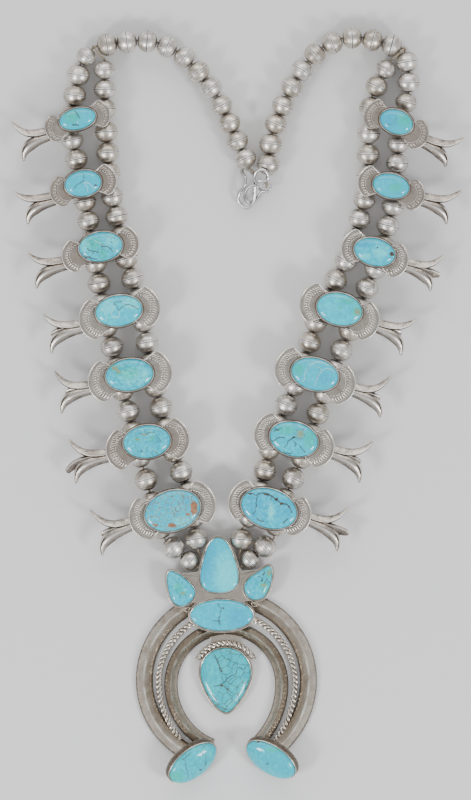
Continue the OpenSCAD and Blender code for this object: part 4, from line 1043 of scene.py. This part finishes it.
# A petal's rounded end: way past its tip, width and height, as shares
PETAL_END = np.array([(0.35, 0.85, 0.85), (0.6, 0.55, 0.6), (0.72, 0.15, 0.25)])


def horn(put, line, wide, high, crest, blunt=0.5, soft=False):
    """A petal: a bent sheet whose two faces meet in a sharp crest. crest says where it lies across,
    from -1 to 1. A soft one is rounded instead, with one edge curled over near its end. Its colour
    has painted light: a painted highlight along the crest and painted shade on its faces."""
    path = bezier(*line, HORN_ROWS)
    t = np.linspace(0, 1, HORN_ROWS)
    w = np.interp(t, np.linspace(0, 1, len(wide)), wide)
    h = np.interp(t, np.linspace(0, 1, len(high)), high)
    tip = path[-1] + unit(path[-1] - path[-2]) * PETAL_END[:, :1] * w[-1] * blunt
    path = np.concatenate([path, tip])
    w = np.concatenate([w, w[-1] * PETAL_END[:, 1]])
    h = np.concatenate([h, h[-1] * PETAL_END[:, 2]])
    n = HORN_COLS // 2
    top = np.concatenate([np.linspace(1, crest + 0.25, n // 2 + 1),
                          crest + np.array([0.16, 0.06, 0, -0.06, -0.16]),
                          np.linspace(crest - 0.25, -1, n // 2 - 1)])
    slope = np.where(top > crest, (top - crest) / (1 - crest), (crest - top) / (1 + crest))
    if soft:
        rise = PETAL_EDGE + (1 - PETAL_EDGE) * (1 - slope ** 2) ** 0.7
    else:
        rise = PETAL_EDGE + (1 - PETAL_EDGE) * (1 - slope) ** np.where(top > crest, 1.35, 0.9)
        rise = np.where(slope < 0.03, 0.97, rise)
        rise = np.where(top == crest, 1.0, rise)
    under = np.linspace(-0.93, 0.93, n - 2)
    section = np.concatenate([np.stack([top, rise], 1),
                              np.stack([under, -0.85 * np.sqrt(1 - under ** 2) - 0.05], 1)])
    points = sweep(path, np.stack([section[:, 0] * w[:, None], section[:, 1] * h[:, None]], -1))
    seed = abs(float(path[-1, 0]))
    points = points + 0.07 * lumps(points, 2.4, seed)[..., None] * [0, 0, 1]
    rub = np.zeros(len(section))
    grime = np.full(len(section), 0.7)
    out = np.concatenate([t, [1.0, 1.0, 1.0]])[:, None]
    off_crest = np.abs(top - crest)
    if soft:
        # painted highlight along the rounded middle, and painted shade growing towards both edges
        rub[:len(top)] = np.clip(1.15 - off_crest / 0.45, 0, 1)
        grime[:len(top)] = 0.1 + 0.6 * slope ** 1.6
        # the curled lip gets a painted highlight, and the crease beside it painted shade
        curled = cosine_step((out - 0.45) / 0.2)
        fold = curled * (np.arange(len(section)) == FOLD_COL)[None]
        lip = curled * (np.arange(len(section)) < FOLD_COL)[None]
        points = points + (0.35 * lip - 0.3 * fold)[..., None] * [0, 0, 1]
        rub = np.clip(rub[None] * (1 - fold) + 0.9 * lip, 0, 1)
        grime = grime[None] * (1 - lip) + 0.9 * fold
    else:
        # painted highlight along the sharp crest and on the outer edge, and painted shade on both faces,
        # heavier on the face towards -1
        rub[:len(top)] = np.clip(1.4 - off_crest / 0.16, 0, 1)
        rub[0] = 0.6
        grime[:len(top)] = np.where(top > crest, 0.2 + 0.35 * slope, 0.45 + 0.4 * slope) * (off_crest > 0.1)
    grime = grime + 0.2 * lumps(points, 2.0, seed + 4)
    put(points, rub=rub, grime=np.clip(grime, 0, 1), warm=np.clip(out - 0.55, 0, 1) * 1.2)


# The petals, from the stem to the tip: where each starts, two points that its curve is pulled to (a
# share of its length, and millimetres across and up), how far its tip sinks, half its width, and its
# height.
PETALS = {
    "up": dict(start=(0.0, 1.3, 0.0), pulls=((0.45, 1.1, 0.0), (0.72, 0.6, -0.6)), sinks=1.0,
               wide=[1.7, 1.75, 1.8, 1.7, 1.45, 1.05, 0.4], high=[2.1, 2.0, 1.9, 1.6, 1.2, 0.8, 0.35],
               crest=-0.62),
    "low": dict(start=(0.0, -1.3, 0.0), pulls=((0.55, -1.9, 0.0), (0.94, -2.6, -0.6)), sinks=1.8,
                wide=[1.8, 2.0, 2.3, 2.6, 2.3, 1.5, 0.45], high=[2.1, 2.1, 2.1, 1.9, 1.5, 1.0, 0.4],
                crest=-0.1, soft=True),
    "mid": dict(start=(4.0, -0.6, -0.6), pulls=((0.5, -0.8, -0.6), (0.8, -1.0, -1.0)), sinks=1.4,
                wide=[1.4, 1.8, 2.0, 1.9, 1.3], high=[1.4, 1.5, 1.4, 1.2, 0.7], crest=0.55, blunt=0.9),
}


def petal(put, stem, tip, start, pulls, sinks, **form):
    run = tip[0] - stem[0]
    pulls = [stem + np.array([share * run, across, up]) for share, across, up in pulls]
    horn(put, (stem + start, *pulls, (*tip, stem[2] - sinks)), **form)


def flower(put, b):
    """Trumpet flower: an upper petal, a lower one and on some blossoms one between them."""
    stem = np.array([b["out"] - STEM_IN, b["stem_y"], PLATE_Z - STEM_DROP])
    for kind, form in PETALS.items():
        if b[kind + "_x"]:
            petal(put, stem, (b[kind + "_x"], b[kind + "_y"]), **form)


def shank_turn(side, i, strand_name):
    """Turn of a shank that sets it square to its strand, in its blossom's frame."""
    sign, rows = SIDES[side]
    knots = STRANDS[strand_name]
    first = next(k for k, knot in enumerate(knots) if knot[REST] == SHANK_REST)
    before, after = directions(knots, first + i)
    d = unit(before + after)
    c, s = cos_sin(rows[i]["tilt"])
    return math.degrees(math.atan2(sign * d[0] * c - d[1] * s, -sign * d[0] * s - d[1] * c))


def blossom(side, i):
    sign, rows = SIDES[side]
    b = rows[i]
    shell = Shell(*METAL)
    tone = rng.uniform(0, 1)

    def put(points, mirror=1, along=False, **values):
        """Adds rows of points of the blossom's own frame."""
        x, y = placed(sign, b, points[..., 0] * mirror, points[..., 1])
        shell.grid(np.stack([x, y, points[..., 2]], -1), along, tone=tone, **values)

    def inner(points, **values):
        put(points, -1, **values)

    r = b["chord"] / math.sin(math.radians(WING_ANGLE))
    more = INNER_MORE if side == "left" and i > 1 else 0.0
    wing(put, (b["out"] + b["far"] - r, b["wing_y"]), r, 10 * i + sign, SLANTING if i > 1 else PLAIN)
    wing(inner, (b["out"] - r + more, 0.0), r, 10 * i + 5 * sign, SLANTING if i > 0 else PLAIN)
    border = 2 * (STONE_GAP + BEZEL_T + PLATE_BORDER)
    base_plate(put, b["stone_l"] + border, b["stone_w"] + border)
    bezel(put, oval(b["stone_l"], b["stone_w"], STONE_SIDES), PLATE_TOP, 3 * i + sign)
    for hold, part in (("hold_out", "outer_"), ("hold_in", "inner_")):
        ear(put, b[hold], b["hold_y"], STRING_Z, PLATE_Z + 0.02, shank_turn(side, i, part + side))
    flower(put, b)
    shell.piece(f"blossom_{side}_{i + 1}", "silver_blossom", SILVER["blossom"], sharp=38)


for side in SIDES:
    for i in range(len(LEFT)):
        blossom(side, i)


# Pendant
CRESCENT_STEP = 1.5
CUP_BACK = 2.5
CUP_REACH = 2.2
ROPE_FLAT = 0.68
TWIST = 4.2
STRAND_SIDES = 8
ROPE_STEP = 0.34
ROPE_RISE = 7.6
CROWN_MARGIN = 0.4
ARC_BALL = 2.4
CROWN_STRING_Z = 2.5
DROP_NECK = (14.0, 7.2)
NOTCHES = ((-20.8, -67.4), (5.4, -66.75))
NOTCH_R = 4.6
CURLS = (((-21.6, -88.4), 200.0, 1), ((7.2, -86.2), -20.0, -1))
CURL_TURN = 330
CURL_RADII = (1.25, 0.7)
CURL_HEIGHTS = (RIDGE_H + 0.35, RIDGE_H + 0.9)
CURL_POINTS = 34
CURL_WIRE = 0.36
BALL_ROWS = 11
BALL_SIDES = 20


def cut_at_cups(points):
    """Presses points that run into an end cup back to the plane inside its back."""
    points = points.copy()
    reach = CUP_SIZE[0]
    for at, degrees in CUPS.values():
        turn = cup_turn(degrees)
        local = (points - [*at, CUP_Z]) @ turn
        near = (np.abs(local[..., 0]) < reach) & (np.abs(local[..., 1]) < reach)
        over = np.where(near, np.maximum(0, local[..., 2] + CUP_BACK), 0)
        points -= over[..., None] * turn[:, 2]
    points[..., 2] = np.maximum(points[..., 2], 0.0)
    return points


def arc_points(middle, r, start, stop, step, z):
    n = max(2, round(abs(math.radians(stop - start)) * r / step))
    a = np.radians(np.linspace(start, stop, n + 1))
    return np.stack([middle[0] + r * np.cos(a), middle[1] + r * np.sin(a), np.full(n + 1, z)], 1)


def crescent(shell, middle, r, w, legs, angles):
    """Ridged crescent: an upper half round and a leg on each side with a radius of its own."""
    left, right = legs
    parts = [(r - right, right, -angles[1], 0.0), (0.0, r, 0.0, 180.0),
             (left - r, left, 180.0, 180.0 + angles[0])]
    stations = [(shift, radius, a) for shift, radius, low, high in parts
                for a in np.linspace(low, high, round((high - low) / CRESCENT_STEP))[:-1]]
    stations.append((left - r, left, 180.0 + angles[0]))
    half = np.array([0.07, 0.2, 0.45, 0.7, 0.93, 1.0, 1.0])
    share = np.concatenate([-half[::-1], [0.0], half])
    low = RIDGE_WALL / RIDGE_H
    height = low + (1 - low) * (1 - np.abs(share)) ** 0.93
    height[[0, -1]] = 0
    height[[1, -2]] = low - 0.05
    height[[6, 8]] = 0.955
    rings = []
    for shift, radius, a in stations:
        c, s = cos_sin(a)
        reach = radius + share * w / 2
        ring = np.stack([middle[0] + shift + reach * c, middle[1] + reach * s, height * RIDGE_H], 1)
        if np.linalg.norm(cut_at_cups(ring) - ring, axis=1).max() < CUP_REACH:
            rings.append(ring)
    points = np.array(rings)
    wave = lumps(points, 4.5, 3) * 0.13 + lumps(points, 1.6, 5) * 0.04
    points[:, 1:-1, 2] += wave[:, 1:-1]
    points = cut_at_cups(points)
    # painted highlight along the ridge; painted light on the outer face and painted shade on the inner
    # face; darker along both feet; a yellowish tint in patches on the inner face
    ridge_highlight = np.clip(1.2 - 4.6 * np.abs(share), 0, 1)
    inner = np.clip((-share - 0.2) / 0.8, 0, 1)
    edge = np.clip((np.abs(share) - 0.66) / 0.3, 0, 1)
    shell.grid(points, rub=ridge_highlight[None] * (0.75 + 0.4 * lumps(points, 3.0, 8)) + 0.25 * (share > 0)[None],
               grime=0.8 * edge[None] + 0.06 * (share < 0)[None],
               warm=np.clip(inner[None] * (0.5 + 0.7 * lumps(points, 6.0, 12)), 0, 1), tone=0.4)


def rope(shell, path, lean=1):
    """Two round wires twisted round each other, flattened a little."""
    path = np.asarray(path, float)
    gone = np.concatenate([[0], np.cumsum(np.linalg.norm(np.diff(path, axis=0), axis=1))])
    _, across, up = frames(path)
    r = ROPE_D / 4
    for k in (0, 1):
        a = lean * 2 * np.pi * gone / TWIST + np.pi * k
        middle = path + across * (r * np.cos(a))[:, None] + up * (r * ROPE_FLAT * np.sin(a))[:, None]
        section = circle(STRAND_SIDES, r) * [1.08, 1.0]
        points = sweep(middle, section)
        # darker towards the rope's middle line, between the strands, and a painted highlight on the top of
        # each strand
        inside = np.clip(1.15 - np.linalg.norm(points - path[:, None], axis=2) / (1.5 * r), 0, 1)
        high = np.clip((points[..., 2] - path[:, None, 2]) / (1.5 * r), 0, 1)
        shell.grid(cut_at_cups(points), grime=np.clip(1.8 * inside, 0, 1), rub=0.9 * high ** 2.5, tone=0.5)


def rope_side(shell, side):
    """The twisted wire on one side, from its end cup up to the crown plate."""
    k = 0 if side < 0 else 1
    leg, leg_angle, top = ROPE["legs"][k], ROPE["angles"][k], ROPE["tops"][k]
    low = arc_points((ROPE["r"] - leg, 0), leg, -leg_angle, 0, ROPE_STEP, ROPE_Z)[:-1]
    high = arc_points((0, 0), ROPE["r"], 0, top, ROPE_STEP, ROPE_Z)
    run = np.concatenate([low, high])
    left = np.concatenate([np.cumsum(np.linalg.norm(np.diff(run, axis=0), axis=1)[::-1])[::-1], [0]])
    run[:, 2] += (CROWN_Z - 0.4 - ROPE_Z) * np.clip(1 - left / ROPE_RISE, 0, 1)
    run[:, 0] = ROPE["middle"][0] + side * run[:, 0]
    run[:, 1] += ROPE["middle"][1]
    rope(shell, run, lean=-side)


def ball(shell, at, r, **values):
    heights = np.linspace(-np.pi / 2, np.pi / 2, BALL_ROWS + 2)[1:-1]
    ring = circle(BALL_SIDES)
    points = np.array([np.column_stack([ring * r * math.cos(t), np.full(BALL_SIDES, r * math.sin(t))])
                       for t in heights])
    shell.grid(points + at, **values)


def plate(shell, outline, at, z, t):
    """Flat plate with a rounded edge, cut out where the small beads lie."""
    points = loft(outline, [(-0.15, z), (0, z + 0.12), (0, z + t - 0.2), (-0.06, z + t - 0.06),
                            (-0.22, z + t), (-0.5, z + t)])
    points[..., :2] += at
    for notch in NOTCHES:
        way = points[..., :2] - notch
        far = np.linalg.norm(way, axis=-1, keepdims=True)
        points[..., :2] = np.where(far < NOTCH_R, notch + way / far * NOTCH_R, points[..., :2])
    rub = np.array([0, 0.2, 0.4, 0.8, 0.7, 0.55])[:, None]
    shell.grid(points, rub=rub, grime=0.02, tone=0.2, warm=0.3)


def shell_put(shell, at=(0.0, 0.0)):
    def put(points, **values):
        shell.grid(points + [*at, 0], tone=0.5, **values)
    return put


def setting(shell, outline, at, z, t):
    """Plate and bezel of one stone."""
    plate(shell, outline + outward(outline) * (STONE_GAP + BEZEL_T + CROWN_MARGIN), at, z, t)
    bezel(shell_put(shell, at), outline, z + t, at[0])


def cup(shell, at, degrees):
    """End cup: a deep box for the tilted stone."""
    wall = STONE_GAP + BEZEL_T
    profile = [(wall - 0.9, -CUP_DEPTH), (wall - 0.12, -CUP_DEPTH), (wall, -CUP_DEPTH + 0.12),
               (wall + 0.03, -1.8), (wall, -0.5), (wall - 0.05, -0.16), (wall - 0.2, 0.0),
               (STONE_GAP + 0.14, 0.0), (STONE_GAP - 0.04, -0.12), (STONE_GAP, -0.4),
               (STONE_GAP, -CUP_RECESS), (-1.0, -CUP_RECESS)]
    points = loft(CUP_LINE, profile)
    wobble = lumps(points, 3.0, at[0])
    points[3:8, :, 2] += 0.06 * wobble[3:8]
    rub = np.array([0, 0.1, 0.2, 0.0, 0.0, 0.5, 0.8, 0.8, 0.5, 0.2, 0, 0])[:, None] + 0.3 * wobble
    grime = np.array([0.6, 0.6, 0.6, 0.8, 0.7, 0.2, 0, 0, 0.5, 0.9, 1, 1])[:, None]
    shell.grid(points @ cup_turn(degrees).T + [*at, CUP_Z], rub=np.clip(rub, 0, 1), grime=grime, tone=0.5)


def arc_plate(shell):
    """Plate under the twisted wire over the drop, and the neck that holds it to the crescent."""
    r = ARC_R + ROPE_D / 3
    low = 1.25 * DROP_NECK[0] / 2 - ARC_SHIFT
    start = math.degrees(math.asin(low / r))
    outline = arc_points((0, ARC_SHIFT), r, start, 180 - start, 0.8, 0)[:, :2]
    plate(shell, outline, DROP_AT, DROP_Z, CROWN_T - 0.03)
    half, bottom, tall = DROP_NECK[0] / 2, ARC_R - ARC_SHIFT, DROP_NECK[1]
    side = np.linspace(0, tall, 5)[:, None]
    neck = np.concatenate([np.hstack([side * 0 + half, bottom + side]),
                           np.hstack([side * 0 - half, bottom + tall - side])])
    plate(shell, neck, DROP_AT, DROP_Z, CROWN_T - 0.06)


def curl(shell, at, start, hand):
    """End of a thin wire, bent into a small ring on the crown."""
    a = np.radians(start + hand * np.linspace(0, CURL_TURN, CURL_POINTS))
    r, z = (np.linspace(*ends, CURL_POINTS) for ends in (CURL_RADII, CURL_HEIGHTS))
    path = np.stack([at[0] + r * np.cos(a), at[1] + r * np.sin(a), z], 1)
    shell.grid(sweep(path, circle(10, CURL_WIRE)), rub=0.5, grime=0.15, tone=0.3)
    ball(shell, path[0], 0.4, rub=0.5, tone=0.3)
    ball(shell, path[-1], 0.44, rub=0.6, tone=0.3)


def naja():
    shell = Shell(*METAL)
    for kind in CRESCENTS.values():
        crescent(shell, **kind)
    for side in (-1, 1):
        rope_side(shell, side)
    for at, degrees in CUPS.values():
        cup(shell, at, degrees)
    crown = np.array(CROWN)
    crown = np.concatenate([np.linspace(a, b, 9)[:-1] for a, b in zip(crown, np.roll(crown, -1, 0))])
    plate(shell, crown, (0, 0), CROWN_Z, CROWN_T)
    for k, (outline, at) in enumerate(SETTINGS.values()):
        setting(shell, outline, at, CROWN_Z, CROWN_T + 0.02 + 0.02 * k)
    for part in ("outer", "inner"):
        for side in SIDES:
            knots = STRANDS[f"{part}_{side}"]
            a, b = knots[-2], knots[-1]
            turn = math.degrees(math.atan2(b[1] - a[1], b[0] - a[0])) + 90
            ear(shell_put(shell), b[0], b[1], CROWN_STRING_Z, CROWN_Z + CROWN_T / 2, turn)
    setting(shell, DROP_LINE, DROP_AT, DROP_Z, CROWN_T)
    arc_plate(shell)
    middle = (DROP_AT[0], DROP_AT[1] + ARC_SHIFT)
    z = DROP_Z + CROWN_T + ROPE_D / 2 * ROPE_FLAT
    path = arc_points(middle, ARC_R, *ARC_ANGLES, ROPE_STEP, z)
    rope(shell, path, lean=1)
    for end in (path[0], path[-1]):
        ball(shell, end, ARC_BALL / 2, rub=0.5, grime=0.2, tone=0.6)
    for at, start, hand in CURLS:
        curl(shell, at, start, hand)
    shell.piece("naja", "silver_naja", SILVER["naja"], sharp=42)


naja()


# Clasp and thread
WIRE_SIDES = 16
WIRE_END = 0.28
WIRE_END_R = 0.55


def wire(name, points, d, slot, material):
    """A bent wire with rounded ends."""
    path = smooth(points, 7)
    path = np.concatenate([path[:1] - unit(path[1:2] - path[:1]) * WIRE_END * d, path,
                           path[-1:] + unit(path[-1:] - path[-2:-1]) * WIRE_END * d])
    r = np.full(len(path), d / 2)
    r[[0, -1]] *= WIRE_END_R
    r = r * (1 + 0.03 * lumps(path, 2.5, d))
    shell = Shell(*METAL)
    points = sweep(path, circle(WIRE_SIDES) * r[:, None, None])
    # painted light: a painted highlight along the top of the wire and painted shade on its underside
    level = (points[..., 2] - path[:, None, 2]) / (d / 2)
    shell.grid(points, rub=np.clip(1.8 * level - 0.8 + 0.3 * lumps(points, 1.5, 4), 0, 1),
               grime=np.clip(1.1 - 1.1 * level, 0, 1), tone=0.3)
    shell.piece(name, slot, material, sharp=50)


wire("clasp_hook", HOOK, HOOK_D, "silver_clasp", SILVER["hook"])
wire("clasp_eye", EYE, EYE_D, "silver_clasp", SILVER["eye"])


def thread_material():
    """Old waxed thread of twisted fibre."""
    n = Nodes("waxed_thread", Roughness=0.7)
    strands = n.node("ShaderNodeTexWave", "Fac", {
        "Vector": n.place, "Scale": 1 / (2.2 * MM), "Distortion": 1.5, "Detail": 2.0},
        bands_direction="DIAGONAL")
    fibre = n.noise(0.25, 4.0, 0.7)
    colour = n.mix(n.map(strands, 0.1, 0.9), (0.16, 0.12, 0.08), (0.42, 0.34, 0.24))
    colour = n.mix(n.map(fibre, 0.4, 0.7, 0.0, 0.5), colour, (0.55, 0.47, 0.36))
    return n.finish(Base_Color=colour, Normal=n.bump(strands + fibre * 0.4, 0.08, 0.7))


THREAD = thread_material()
for side in SIDES:
    for kept in bpy.data.objects["thread_" + side].material_slots:
        kept.material = THREAD


for name, knots in STRANDS.items():
    bead_string(name, knots)


# Floor and studio light
FLOOR_GAP = 0.02 * MM
FLOOR_HALF = 3.0


def floor():
    n = Nodes("pale_floor", Roughness=0.85)
    grain = n.noise(1.5, 3.0, 0.6)
    colour = n.mix(grain, (0.80, 0.80, 0.80), (0.84, 0.84, 0.84))
    material = n.finish(Base_Color=colour, Normal=n.bump(grain, 0.05, 0.2))
    mesh = bpy.data.meshes.new("floor")
    corners = ((-1, -1), (1, -1), (1, 1), (-1, 1))
    mesh.from_pydata([(x * FLOOR_HALF, y * FLOOR_HALF, -FLOOR_GAP) for x, y in corners], [], [(0, 1, 2, 3)])
    mesh.materials.append(material)
    plane = bpy.data.objects.new("floor", mesh)
    bpy.context.scene.collection.objects.link(plane)


# Softboxes, in metres and watts: place, size and power
AIM = (0.0, -0.01, 0.0)
SOFTBOXES = {
    "light_left": ((-0.75, -0.55, 0.75), (0.26, 0.26), 6.5),
    "light_right": ((0.75, -0.55, 0.75), (0.26, 0.26), 6.5),
    "light_far": ((0.0, 1.5, 0.9), (2.4, 0.8), 16.0),
}


def softbox(name, place, size, power):
    data = bpy.data.lights.new(name, "AREA")
    data.shape = "RECTANGLE"
    data.size, data.size_y = size
    data.energy = power
    light = bpy.data.objects.new(name, data)
    light.location = place
    light.rotation_euler = (Vector(AIM) - Vector(place)).to_track_quat("-Z", "Y").to_euler()
    bpy.context.scene.collection.objects.link(light)


SKY = (0.97, 0.98, 1.0)
SKY_STRENGTH = 0.69


def world(colour, strength):
    world = bpy.data.worlds.new("studio")
    world.use_nodes = True
    background = world.node_tree.nodes["Background"]
    background.inputs["Color"].default_value = (*colour, 1)
    background.inputs["Strength"].default_value = strength
    bpy.context.scene.world = world


floor()
for name, settings in SOFTBOXES.items():
    softbox(name, *settings)
world(SKY, SKY_STRENGTH)
